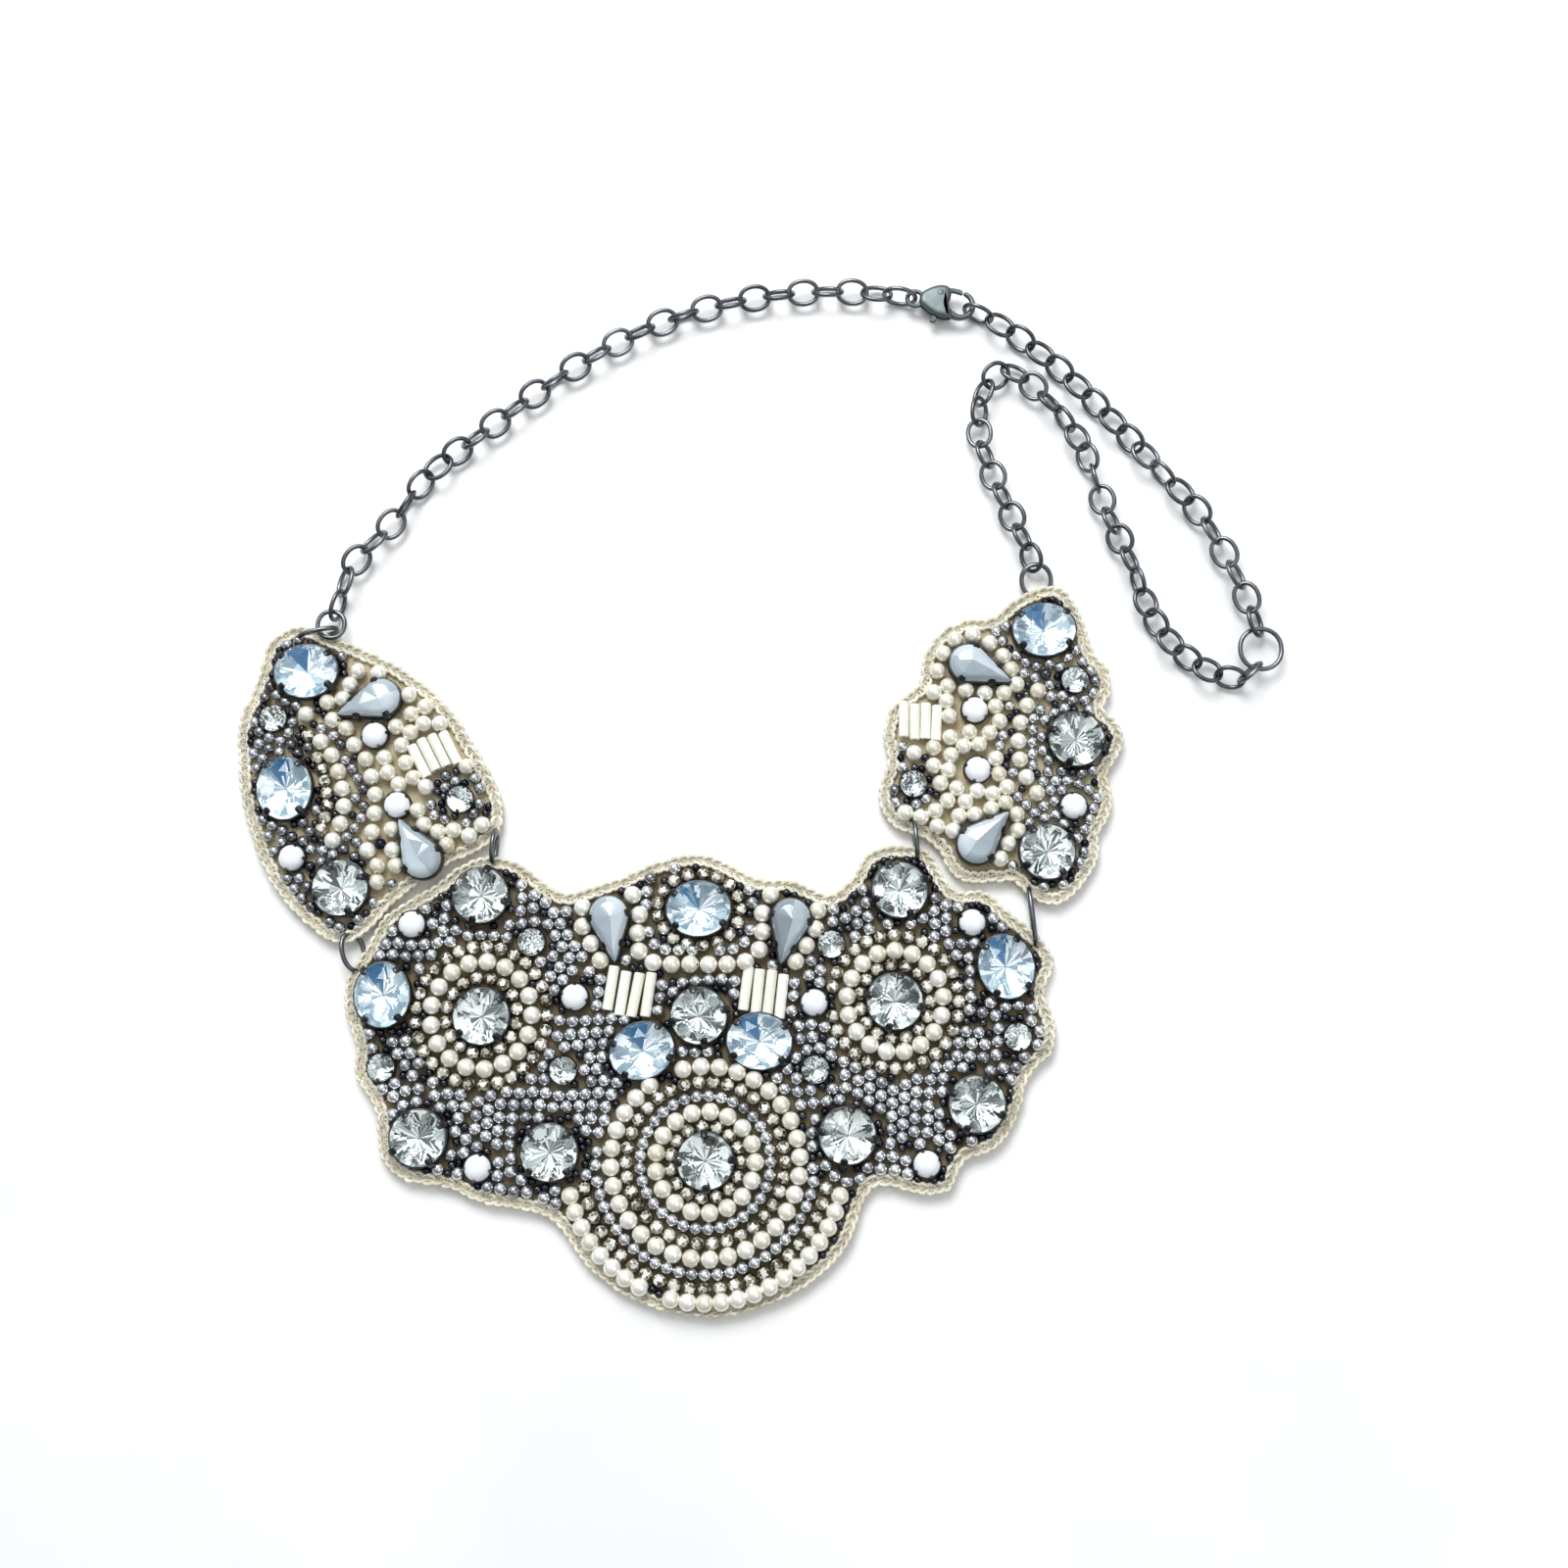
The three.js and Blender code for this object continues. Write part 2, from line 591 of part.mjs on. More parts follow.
add("end_ring", laid(wireLoop(END_RING, CHAIN_WIRE, 12), END_RING), "chain");

// ---------------------------------------------------------------- clasp

const closedShape = (points) => points.map(([x, y]) => new THREE.Vector2(x, y));

function ringSector(inner, outer, from, to, steps) {
  const arc = (radius, a, b) => Array.from({ length: steps + 1 }, (_, i) => {
    const angle = THREE.MathUtils.degToRad(a + ((b - a) * i) / steps);
    return new THREE.Vector2(radius * Math.cos(angle), radius * Math.sin(angle));
  });
  return [...arc(outer, from, to), ...arc(inner, to, from)];
}

function disc(x, y, radius, sides = 12) {
  return Array.from({ length: sides }, (_, i) => {
    const angle = (2 * Math.PI * i) / sides;
    return new THREE.Vector2(x + radius * Math.cos(angle), y + radius * Math.sin(angle));
  });
}

function placedOnClasp(solid) {
  const geometry = toGeometry(solid);
  return turned(geometry, CLASP).translate(0, 0, CHAIN_LEVEL);
}

function claspBody() {
  const c = CLASP;
  const shell = toSolid(slab(closedShape(CLASP_BODY), -c.bodyHalf, c.bodyHalf));
  const gateSlot = new THREE.BoxGeometry(5, 5, 2 * c.slotHalf);
  gateSlot.translate(-4.3, 2.4, 0);
  const triggerSlot = new THREE.BoxGeometry(3.6, 6, 2 * c.slotHalf);
  triggerSlot.translate(-5.9, -2.8, 0);
  const slotted = cut(shell, [toSolid(gateSlot), toSolid(triggerSlot)]);
  const hook = ringSector(c.eyeInner, c.eyeOuter, c.hookFrom, c.hookTo, 12);
  const tail = slabRing(
    disc(c.tailX, 0, c.tailOuter), disc(c.tailX, 0, c.tailInner), -c.tailHalf, c.tailHalf);
  return slotted
    .add(toSolid(slab(hook, -c.hookHalf, c.hookHalf)))
    .add(toSolid(slab(disc(c.pivotX, c.pivotY, c.pin, 10), -c.bodyHalf, c.bodyHalf)))
    .add(tail);
}

function claspLever() {
  const c = CLASP;
  const arm = toSolid(slab(closedShape(LEVER), -c.leverHalf, c.leverHalf));
  const boss = toSolid(slab(
    disc(c.pivotX, c.pivotY, c.leverBoss), -c.leverHalf, c.leverHalf));
  const bore = toSolid(slab(disc(c.pivotX, c.pivotY, c.leverBore, 10), -1, 1));
  return arm.add(boss).subtract(bore);
}

add("clasp_body", placedOnClasp(claspBody()), "clasp");
add("clasp_lever", placedOnClasp(claspLever()), "clasp");

const claspTurn = THREE.MathUtils.degToRad(CLASP.turn);
const tailLinkReach = CLASP.tailX - CLASP_TAIL_LINK.length / 2;
add("clasp_link", laid(wireLoop(CLASP_TAIL_LINK, CHAIN_WIRE), {
  x: CLASP.x + tailLinkReach * Math.cos(claspTurn),
  y: CLASP.y + tailLinkReach * Math.sin(claspTurn),
  z: CHAIN_LEVEL,
  turn: CLASP.turn,
  roll: CLASP_TAIL_LINK.roll,
}), "chain");

export default necklace;
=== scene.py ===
import math

import bpy
import numpy as np
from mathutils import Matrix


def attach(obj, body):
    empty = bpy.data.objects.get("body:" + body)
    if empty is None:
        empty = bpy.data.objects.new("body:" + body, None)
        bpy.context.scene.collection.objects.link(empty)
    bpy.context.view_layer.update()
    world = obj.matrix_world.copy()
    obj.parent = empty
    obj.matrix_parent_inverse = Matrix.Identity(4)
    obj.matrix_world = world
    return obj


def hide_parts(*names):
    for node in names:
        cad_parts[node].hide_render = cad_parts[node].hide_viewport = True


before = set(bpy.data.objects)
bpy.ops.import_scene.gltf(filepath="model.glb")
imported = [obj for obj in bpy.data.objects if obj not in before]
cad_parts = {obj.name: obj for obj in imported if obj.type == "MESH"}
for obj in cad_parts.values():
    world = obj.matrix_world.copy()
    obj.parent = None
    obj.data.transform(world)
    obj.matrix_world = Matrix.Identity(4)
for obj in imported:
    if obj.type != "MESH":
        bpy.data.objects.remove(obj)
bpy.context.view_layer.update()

# Bib necklace lying on a pale floor: beaded felt panels, claw-set stones, cable chain.
# Lengths here are millimetres in the CAD frame; meshes are written in metres.

MM = 0.001
BODY = "necklace"
LEVER_BODY = "lever"

# ---------------------------------------------------------------- sizes

FELT_TOP = 2.0
FELT_CUT = 1.1  # how far the cut edge lies inside the border
FELT_PROFILE = ((1.5, 0.06), (1.15, 0.4), (FELT_CUT, 1.5), (1.35, 1.85), (2.2, FELT_TOP))
BORDER_POINTS = 400
EDGING_WIDTH = 2.35
CORE_MIDDLE, CORE_HALF, CORE_SIDES = (1.15, 1.25), (0.75, 1.12), 10  # across and up
YARN = 0.4  # radius
FIBRE, FIBRES = 0.07, 3  # radius of a loose fibre, and how many stand out of each stitch
STITCH = 2.0  # along the border
CHAIN_INSET = 1.34  # from the border to the middle of the chain stitches
FELT_TONES_AND_SHADE = {"left": 0.55, "right": 0.6, "centre": 0.06}  # the top face's tone: the side panels' own felt colour; the centre's near 0 is painted shade between the beads
# The core's low tone is painted shade in the gaps between the stitches.
FELT_SIDE_TONE, CORE_SHADE_TONE, FIBRE_TONE = 0.8, 0.15, 0.95
HEIGHT_SPREAD = 0.08  # how unevenly beads sit on the felt
# The small beads are near-black: real dark beads that also stand in as painted shade in the gaps
# they fill.
SMALL_TONE, SMALL_TONE_SPREAD, SEED_TONE_SPREAD, PEARL_TONE_SPREAD = 0.07, 0.05, 0.16, 0.2
SEED_TONES = {"left": 0.45, "right": 0.66, "centre": 0.72}
PEARL_TONES = {"left": 0.6, "right": 0.6, "centre": 0.7}
# Radii of the beads: the side panels' are smaller.
BEADS = {"pearl": 1.97, "seed": 1.45, "small": 0.92, "chaton": 1.42}
SIDE_BEADS = {"pearl": 1.86, "seed": 1.3, "small": 0.92, "chaton": 1.35}
BEAD_MESHES = {  # hole radius, sides, rings and length over width
    "pearl": (0.3, 18, 11, 1.0), "seed": (0.3, 12, 8, 0.95), "small": (0.24, 10, 7, 0.95),
}
CHATON_CUTS = 5  # different facet patterns on a panel
CHATON_WIDTH, CHATON_LEVEL = 2.7, 1.4  # the level is above the felt
CHATON_CUP = (-1.3, 0.3, 0.75, 0.12)  # bottom, girdle, depth and wall
CHATON_CROWN = (0.24, 0.36, 1.15, 0.45)  # low, girdle, top and table
# Tone offsets of each chaton facet, dark, even and bright, and how many are each: painted glints
# and dark reflections on opaque facets.
CHATON_SHADES, CHATON_SHARES = (-0.55, 0.0, 0.45), (0.3, 0.25, 0.45)
SMALL_STONE = 2.9  # radius
STONE_SIDES, SMALL_SIDES, CROWN_SIDES = 32, 24, 16
CUP_BOTTOM, GIRDLE, TABLE = 2.4, 5.2, 7.7
CUP_DEPTH, CUP_WALL, CUP_TONE = 2.3, 0.32, 0.3
CLAW_REACH, CLAW_WIDTH, CLAW_THICK = 1.2, 1.6, 0.2
SMALL_GIRDLE, SMALL_TABLE = 4.3, 6.1
SMALL_DEPTH, SMALL_WALL = 1.3, 0.28
SMALL_REACH, WHITE_REACH, SMALL_CLAW = 0.5, 0.34, 0.7  # of the claws; and their width
# Tones of the foil facets, bright, middling and dark, and how many are each: painted glints and
# dark reflections at random. An oval's foil has a blue patch, a painted dark reflection at one
# bearing on
# every oval: its bearing, half its width and its facets' share, as degrees, radians, 0-1.
FOIL_TONES, FOIL_SHARES, FOIL_SPREAD = np.array([0.9, 0.46, 0.08]), (0.34, 0.36, 0.3), 0.08
BLUE_BEARING, BLUE_HALF, BLUE_SHARE, BLUE_TONE, DARKEST_PALE = 105, 0.42, 0.8, 0.04, 0.24
DARK_DROP = 0.35  # how much darker one of the drops is
WHITE_DOME = ((0.97, 4.2), (0.99, 4.35), (0.93, 4.9), (0.78, 5.45), (0.55, 5.85), (0.25, 6.05))
BUGLE_RADIUS, BUGLE_HOLE, BUGLE_SIDES, BUGLE_COUNT, BUGLE_LEVEL = 1.16, 0.45, 16, 4, 1.9
RING_WIRE, CHAIN_WIRE = 1.08, 1.02
CHAIN_LEVEL = 3.2
LINK_WIDTH = 5.25  # between wire centres
BITE, SLACK = 0.53, 0.3  # a link's end past its joint; how much less where a run ends
HALF_LINK = (2.3, 3.2)  # a link's middle to its joint: the least and most tried
CLOSE = 0.02  # how near the last joint has to come to the route's end
LIES = {"F": 20, "M": 35, "S": 50, "E": 78}  # flat, middling, steep, on edge: degrees

# Outer edges of the three panels.
OUTLINES = {
    "left": [
        [-104, 33.5], [-94.5, 30.5], [-83, 25.5], [-71.5, 17], [-64, 7], [-57.2, -7],
        [-57.8, -13], [-61.5, -16.8], [-70.5, -21], [-80, -28.5], [-87, -35.8], [-92, -37.5],
        [-100.5, -32], [-107, -24.5], [-113.5, -9.5], [-115.7, 2], [-116, 11],
        [-112.5, 21.5], [-110, 30],
    ],
    "right": [
        [60, 41.8], [67, 42.3], [72, 34], [73.3, 28.2], [77, 23.3], [77.2, 18.5],
        [75.8, 14.7], [79, 11], [79.6, 6], [76, -0.5], [77, -5], [76, -10], [73.8, -13.5],
        [73.5, -19], [67.5, -27.3], [62, -29], [58, -27], [54.8, -24], [51, -24.2],
        [45.5, -24.2], [42, -23], [39, -18], [35, -14.2], [30, -12.6], [26.5, -9], [25.5, -4],
        [27.5, 2], [26.8, 10], [29, 15.5], [34.5, 20.5], [36, 27], [39.5, 32], [45, 35],
        [51, 35.5], [55.5, 39],
    ],
    "centre": [
        [-86, -38.5], [-82.5, -31.8], [-76.5, -27.7], [-71, -24.3], [-66.5, -20.8],
        [-61.5, -18.6], [-54, -19.5], [-48, -23.6], [-43.5, -26.3], [-39, -25.5],
        [-30, -22.5], [-23, -19.5], [-15, -17.8], [-8, -19.5], [-1, -23.3], [6, -23.5],
        [14.8, -26.5], [20, -22.5], [22.8, -18], [27, -16.2], [31.5, -15.9], [35.3, -16.6],
        [38, -19.5], [40, -23.5], [42.5, -25.9], [48, -25.9], [54.5, -31.3], [61, -37],
        [63.3, -41.5], [61, -48], [63.2, -55], [62.5, -60.5], [57.5, -66], [54.7, -74.5],
        [50, -81.3], [43.3, -84], [40, -89.8], [34.5, -91], [25.5, -89], [22.5, -91],
        [18, -101.5], [11.5, -108.3], [-1, -114.3], [-12, -116], [-25, -113.2],
        [-36, -106.5], [-43, -97.5], [-47, -95], [-61, -92.2], [-66, -89.8],
        [-76.5, -87.6], [-81, -83.5], [-82.7, -73.5], [-87.3, -65.5], [-87.3, -60],
        [-90, -52], [-90, -45],
    ],
}

# Small claw-set stones: the first are clear, the rest opaque white.
CLEAR_COUNT = {"left": 2, "right": 2, "centre": 6}
SMALL_STONES = {
    "left": [[-108.2, 12.3], [-66.4, -5.9], [-85.6, 8.4], [-80.1, -7.2], [-102.7, -18.9]],
    "right": [[69.2, 21], [33.1, -2.4], [68.2, -7.4], [46.9, 14.1], [47.3, 0.7]],
    "centre": [
        [-50, -37.2], [-81.6, -64.1], [-42.6, -64.7], [14.9, -37.7], [11.4, -64.5],
        [54.9, -57.6], [-76, -33.4], [-40.4, -49.1], [11.2, -50.3], [45.5, -33],
        [-60.3, -85.2], [35, -84.4],
    ],
}

# Groups of bugle beads: middle, length, turn and how far apart the beads are.
BUGLES = {
    "left": [(-72.2, 4, 8, -62, 2.45)],
    "right": [(34.8, 11.6, 8, 88, 2.4)],
    "centre": [(-28.6, -48.0, 9.6, 82, 2.75), (0.3, -48.4, 9.6, 84, 2.6)],
}

# Rings of beads about a stone: kind, middle, radii along X and Y, count, start and end
# bearing in degrees.
BEAD_RINGS = {
    "left": [],
    "right": [],
    "centre": [
        ("pearl", -60.4, -53.0, 10.9, 11.5, 17, 0, 360),
        ("chaton", -60.4, -53.0, 7.7, 8.1, 16, 10, 370),
        ("chaton", -60.4, -53.0, 14.2, 14.8, 29, 0, 360),
        ("pearl", 28.6, -50.0, 10.4, 10.9, 17, 5, 365),
        ("chaton", 28.6, -50.0, 7.6, 7.9, 15, 0, 360),
        ("chaton", 28.6, -50.0, 13.8, 14.3, 28, 0, 360),
        ("pearl", -12.0, -84.0, 10.6, 10.6, 17, 0, 360),
        ("chaton", -12.0, -84.0, 7.5, 7.5, 15, 0, 360),
        ("seed", -12.0, -84.0, 13.9, 13.9, 33, 0, 360),
        ("chaton", -12.0, -84.0, 16.9, 16.9, 34, 0, 360),
        ("pearl", -12.0, -84.0, 20.1, 20.1, 32, 3, 363),
        ("seed", -12.0, -84.0, 23.3, 23.3, 25, 190, 350),
        ("chaton", -12.0, -84.0, 26.2, 26.2, 23, 192, 348),
        ("pearl", -12.0, -84.0, 29.4, 29.0, 23, 194, 346),
        ("chaton", -13.8, -30.1, 9.0, 7.8, 17, 0, 360),
    ],
}

# Strings of beads laid along a line: kind, then [x, y] of its bends.
STRINGS = {
    "left": [
        ("pearl", [[-97.5, 7], [-95, 4], [-92.8, -1.5], [-91.8, -7.5], [-92.5, -11.5],
                   [-94, -15]]),
        ("chaton", [[-100.5, 8.5], [-98.2, 3.5], [-96.3, -2], [-95.6, -7.5], [-96.6, -12.5]]),
        ("pearl", [[-90, 23], [-86, 21.2], [-81.5, 20.5], [-78.3, 17.2], [-77.8, 13.2]]),
        ("pearl", [[-101, 13.2], [-98, 13], [-94.3, 13.4]]),
        ("pearl", [[-92, 10], [-90.2, 6.5], [-87.4, 3], [-86, -0.8], [-85, -4.8], [-85, -9],
                   [-85.4, -13.2], [-86.3, -17.3], [-84, -20.6]]),
        ("pearl", [[-81, 10.4], [-79.5, 6.6], [-83.3, 3.4]]),
    ],
    "right": [
        ("pearl", [[61, 18.5], [58.5, 15.2], [57, 11.5], [56.4, 7.3], [56.6, 3], [58, -1],
                   [60.2, -4.5]]),
        ("pearl", [[38.8, 23], [40.2, 27], [43.2, 30.4], [47.2, 31.2], [50.6, 29.3], [53.4, 26.4]]),
        ("pearl", [[41, 19.6], [45, 18.6]]),
        ("pearl", [[49.2, 18], [53.4, 18]]),
        ("pearl", [[33.4, 4.5], [37.6, 5.6], [41.8, 8.2], [46, 9.2], [50, 9]]),
        ("pearl", [[37.6, 1.6], [39, -2.2], [40.5, -6.1], [43, -9.6]]),
    ],
    "centre": [
        ("pearl", [[-26.7, -31.3], [-27, -35], [-26.8, -39], [-23.8, -41.6], [-15.5, -42],
                   [-7, -42], [-3.4, -41.4], [-0.6, -38.8], [0, -35], [0, -31]]),
        ("pearl", [[-28.2, -27], [-32.5, -25.9], [-36.2, -26.6], [-39, -29.8], [-39, -33.8],
                   [-37, -37.7], [-35, -41.2]]),
        ("pearl", [[1.8, -27], [6, -25.9], [9.4, -27], [12, -30.2], [11.6, -34.2],
                   [9.6, -37.8], [7.2, -41.4]]),
        ("seed", [[-23.4, -37.6], [-25, -33.5], [-25.2, -27], [-24.2, -23], [-20, -21.2],
                  [-13.8, -21.2], [-8, -22.2], [-3.4, -25], [-2.2, -29], [-2.8, -35],
                  [-5, -38.2], [-13.8, -39], [-21, -38.8]]),
    ],
}

# Where side panels change from pearls to seed beads: x at each y.
PEARL_SIDE = {"left": 1, "right": -1}
SEEDS_ROUND_STONE = 6.6  # pearls stay this far from a clear stone's middle
PEARL_EDGE = {
    "left": [[-32, -84], [-24, -87], [-16, -87.5], [-10, -86.5], [-3, -87], [3, -88.6],
             [8, -92.5], [12, -96], [16, -97], [24, -92]],
    "right": [[-24, 54], [-17, 56.5], [-12, 58], [-8, 57], [-4, 54.5], [0, 52.4], [6, 51.6],
              [12, 52.4], [18, 55.6], [22, 57.5], [27, 56], [31, 52.5], [36, 50]],
}

# Wire rings: middle, length, width, turn, pitch and roll.
RINGS = {
    "ring_inner_left": (-58.7, -16.2, 3.2, 7, 5.2, 86, 0, 88),
    "ring_outer_left": (-88.9, -39.2, 2.3, 8.3, 5.2, 105, 0, 40),
    "ring_inner_right": (33.6, -14.9, 3.2, 8, 5.2, 94, 0, 88),
    "ring_outer_right": (58.7, -31.7, 3.2, 12.4, 5.2, 96, 0, 84),
    "bail_left": (-99.4, 31.7, 3.2, 8.8, 5.2, 14, 0, 88),
    "jump_ring_left": (-96.3, 33.6, 3.9, 6, 6, 78, 0, 0),
    "jump_ring_right": (61.4, 44.2, 2.35, 7.2, 6.6, 94, 15, 0),
    "end_ring": (111, 28.2, 3.2, 9.2, 9.2, 0, 0, 0),
}

# The chain: its routes, the runs of links along each, and how each link lies (see LIES).
ROUTES = {
    "left": [
        [-95.9, 35.8], [-94.6, 40], [-92.3, 48], [-85, 55.5], [-76, 68.5], [-63.5, 79],
        [-45.5, 93], [-25.5, 104.5], [-4, 111], [15, 113], [28.6, 112.25],
    ],
    "extender": [
        [47.05, 108.65], [51.5, 106.7], [60.3, 100.5], [68.4, 93.6], [80, 81.3], [90.6, 69],
        [98.5, 60], [104, 50], [108.7, 39.3], [110.6, 32],
    ],
    "right": [
        [110, 24.4], [108.6, 21.2], [99.5, 23], [94, 26.5], [87, 35.5], [83.2, 47],
        [77, 61.7], [73.3, 74], [68.5, 82.5], [62, 89.5], [56.8, 94.2], [52.5, 92.8],
        [49.8, 87], [48.8, 80], [51, 71.5], [55.3, 61], [59.5, 51.5], [61.1, 47.1],
    ],
}
RUNS = {
    "left": [("chain_left_lower", 9), ("chain_left_middle", 10), ("chain_left_upper", 9)],
    "extender": [("extender_upper", 9), ("extender_lower", 9)],
    "right": [("chain_right_outer", 10), ("chain_right_middle", 11), ("chain_right_inner", 8)],
}
ROLLS = {
    "left": "ESFSFESFMSFSFEFSFSFEFSFSFSFM",
    "extender": "EFSFSFSFSFEFMSFSFS",
    "right": "ESFSFSFESFSFESFESFMFSSFSFSFSS",
}

# ---------------------------------------------------------------- lines and outlines


def spline(points, closed=False, steps=16):
    """Centripetal Catmull-Rom through points."""
    p = np.array(points, float)
    n = len(p)
    line = []
    for i in range(n if closed else n - 1):
        b, c = p[i], p[(i + 1) % n]
        a = p[i - 1] if i or closed else 2 * b - c
        d = p[(i + 2) % n] if closed or i + 2 < n else 2 * c - b
        t1 = np.linalg.norm(b - a) ** 0.5
        t2 = t1 + np.linalg.norm(c - b) ** 0.5
        t3 = t2 + np.linalg.norm(d - c) ** 0.5
        for t in np.linspace(t1, t2, steps, endpoint=False):
            ab = a + (b - a) * t / t1
            bc = b + (c - b) * (t - t1) / (t2 - t1)
            cd = c + (d - c) * (t - t2) / (t3 - t2)
            abc = ab + (bc - ab) * t / t2
            bcd = bc + (cd - bc) * (t - t1) / (t3 - t1)
            line.append(abc + (bcd - abc) * (t - t1) / (t2 - t1))
    if not closed:
        line.append(p[-1])
    return np.array(line)


def spaced(line, count, closed=False):
    """count points at equal distances along a line."""
    if closed:
        line = np.vstack([line, line[:1]])
    along = np.concatenate([[0], np.cumsum(np.linalg.norm(np.diff(line, axis=0), axis=1))])
    at = np.linspace(0, along[-1], count, endpoint=not closed)
    return np.stack([np.interp(at, along, line[:, k]) for k in range(line.shape[1])], axis=1)


def length_of(line, closed=False):
    if closed:
        line = np.vstack([line, line[:1]])
    return np.linalg.norm(np.diff(line, axis=0), axis=1).sum()


def full_turn(count, shift=0.0):
    """Even bearings round a circle, in radians."""
    return (np.arange(count) + shift) / count * 2 * math.pi


def at_height(loop, z):
    return np.column_stack([loop, np.full(len(loop), z)])


def hoop(x, radius, count):
    """A circle about the X axis."""
    around = full_turn(count)
    return np.column_stack([np.full(count, x), radius * np.cos(around), radius * np.sin(around)])


def outline(points, count):
    """A smooth closed outline through points, as count even samples."""
    return spaced(spline(points, True), count, True)


def area_of(loop):
    x, y = loop[:, 0], loop[:, 1]
    return 0.5 * np.sum(x * np.roll(y, -1) - np.roll(x, -1) * y)


def outward(loop):
    """Outward unit normals of a closed outline."""
    along = np.roll(loop, -1, axis=0) - np.roll(loop, 1, axis=0)
    along /= np.linalg.norm(along, axis=1, keepdims=True)
    normal = np.stack([along[:, 1], -along[:, 0]], axis=1)
    return normal if area_of(loop) > 0 else -normal


def inside(points, loop):
    """Which points lie inside a closed outline."""
    x, y = points[:, 0], points[:, 1]
    result = np.zeros(len(points), bool)
    for a, b in zip(loop, np.roll(loop, -1, axis=0)):
        crosses = (a[1] > y) != (b[1] > y)
        if crosses.any():
            at = a[0] + (y[crosses] - a[1]) * (b[0] - a[0]) / (b[1] - a[1])
            result[crosses] ^= x[crosses] < at
    return result


def turned(points, degrees):
    a = math.radians(degrees)
    c, s = math.cos(a), math.sin(a)
    return np.asarray(points) @ np.array([[c, s], [-s, c]])


# ---------------------------------------------------------------- mesh writing


class Mesh:
    """Collects closed bodies as arrays, then writes one object."""

    def __init__(self):
        self.points, self.faces, self.looks, self.tones, self.count = [], [], [], [], 0

    def add(self, points, faces, look=0, tone=0.5):
        points = np.asarray(points, float)
        self.points.append(points)
        start = self.count
        self.count += len(points)
        several_looks = isinstance(look, (list, np.ndarray))
        several_tones = isinstance(tone, (list, np.ndarray))
        for i, face in enumerate(faces):
            self.faces.append([start + v for v in face])
            self.looks.append(look[i] if several_looks else look)
            self.tones.append(tone[i] if several_tones else tone)

    def put(self, points, faces, look=0, tone=0.5, at=None):
        """Adds a closed body with its faces outward, first moved to at: x, y and a turn."""
        if at:
            points = placed(points, *at)
        self.add(points, facing_out(points, faces), look, tone)

    def copies(self, template, turns, places, tones):
        """The template mesh at many places: turns (n, 3, 3), places (n, 3)."""
        points, faces, looks, shades = template
        for turn, place, tone in zip(turns, places, tones):
            self.add(points @ turn.T + place, faces, looks, np.clip(tone + shades, 0, 1))

    def write(self, name, materials, slot, node=None, smooth=(), body=BODY):
        """The mesh as one piece, which may stand for a CAD node; smooth lists looks."""
        mesh = bpy.data.meshes.new(name)
        points = np.vstack(self.points) * MM
        sizes = np.array([len(face) for face in self.faces])
        corners = np.concatenate([np.array(face) for face in self.faces])
        mesh.vertices.add(len(points))
        mesh.vertices.foreach_set("co", points.ravel())
        mesh.loops.add(len(corners))
        mesh.loops.foreach_set("vertex_index", corners)
        mesh.polygons.add(len(sizes))
        mesh.polygons.foreach_set("loop_start", np.concatenate([[0], np.cumsum(sizes)[:-1]]))
        mesh.polygons.foreach_set("material_index", np.array(self.looks, np.int32))
        mesh.polygons.foreach_set("use_smooth", np.isin(self.looks, smooth))
        tone = mesh.attributes.new("tone", "FLOAT", "FACE")
        tone.data.foreach_set("value", np.array(self.tones, np.float32))
        mesh.update(calc_edges=True)
        mesh.validate()
        for material in materials:
            mesh.materials.append(material)
        obj = bpy.data.objects.new(name, mesh)
        bpy.context.scene.collection.objects.link(obj)
        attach(obj, body)
        if node:
            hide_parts(node)
        return obj


def stack(rings, wrap=False):
    """Faces between rings of equal size, given bottom up and counterclockwise.

    Both ends are capped, or the last ring is joined to the first.
    """
    count, levels = len(rings[0]), len(rings)
    faces = []
    for level in range(levels if wrap else levels - 1):
        low, high = level * count, (level + 1) % levels * count
        for i in range(count):
            j = (i + 1) % count
            faces.append((low + i, low + j, high + j, high + i))
    if not wrap:
        faces.append(tuple(range(count - 1, -1, -1)))
        faces.append(tuple(range((levels - 1) * count, levels * count)))
    return np.vstack(rings), faces


def tube(line, radius, sides=6, closed=False, up=(0, 0, 1)):
    """A tube along a line. radius is one number or one per point."""
    line = np.asarray(line, float)
    n = len(line)
    radius = np.broadcast_to(radius, n)
    if closed:
        along = np.roll(line, -1, axis=0) - np.roll(line, 1, axis=0)
    else:
        along = np.gradient(line, axis=0)
    along /= np.linalg.norm(along, axis=1, keepdims=True)
    side = np.cross(along, up)
    side /= np.maximum(np.linalg.norm(side, axis=1, keepdims=True), 1e-9)
    lift = np.cross(side, along)
    angles = full_turn(sides)
    rings = [
        line[i] + radius[i] * (np.outer(np.cos(angles), side[i])
                               + np.outer(np.sin(angles), lift[i]))
        for i in range(n)
    ]
    points, faces = stack(rings, closed)
    return points, [face[::-1] for face in faces]


def rotation(turn=0.0, pitch=0.0, roll=0.0):
    """Rolls about X, lifts the +X end by pitch, then turns about Z; degrees."""
    a, b, c = (math.radians(v) for v in (turn, -pitch, roll))
    rz = np.array([[math.cos(a), -math.sin(a), 0], [math.sin(a), math.cos(a), 0], [0, 0, 1]])
    ry = np.array([[math.cos(b), 0, math.sin(b)], [0, 1, 0], [-math.sin(b), 0, math.cos(b)]])
    rx = np.array([[1, 0, 0], [0, math.cos(c), -math.sin(c)], [0, math.sin(c), math.cos(c)]])
    return rz @ ry @ rx


# ---------------------------------------------------------------- materials


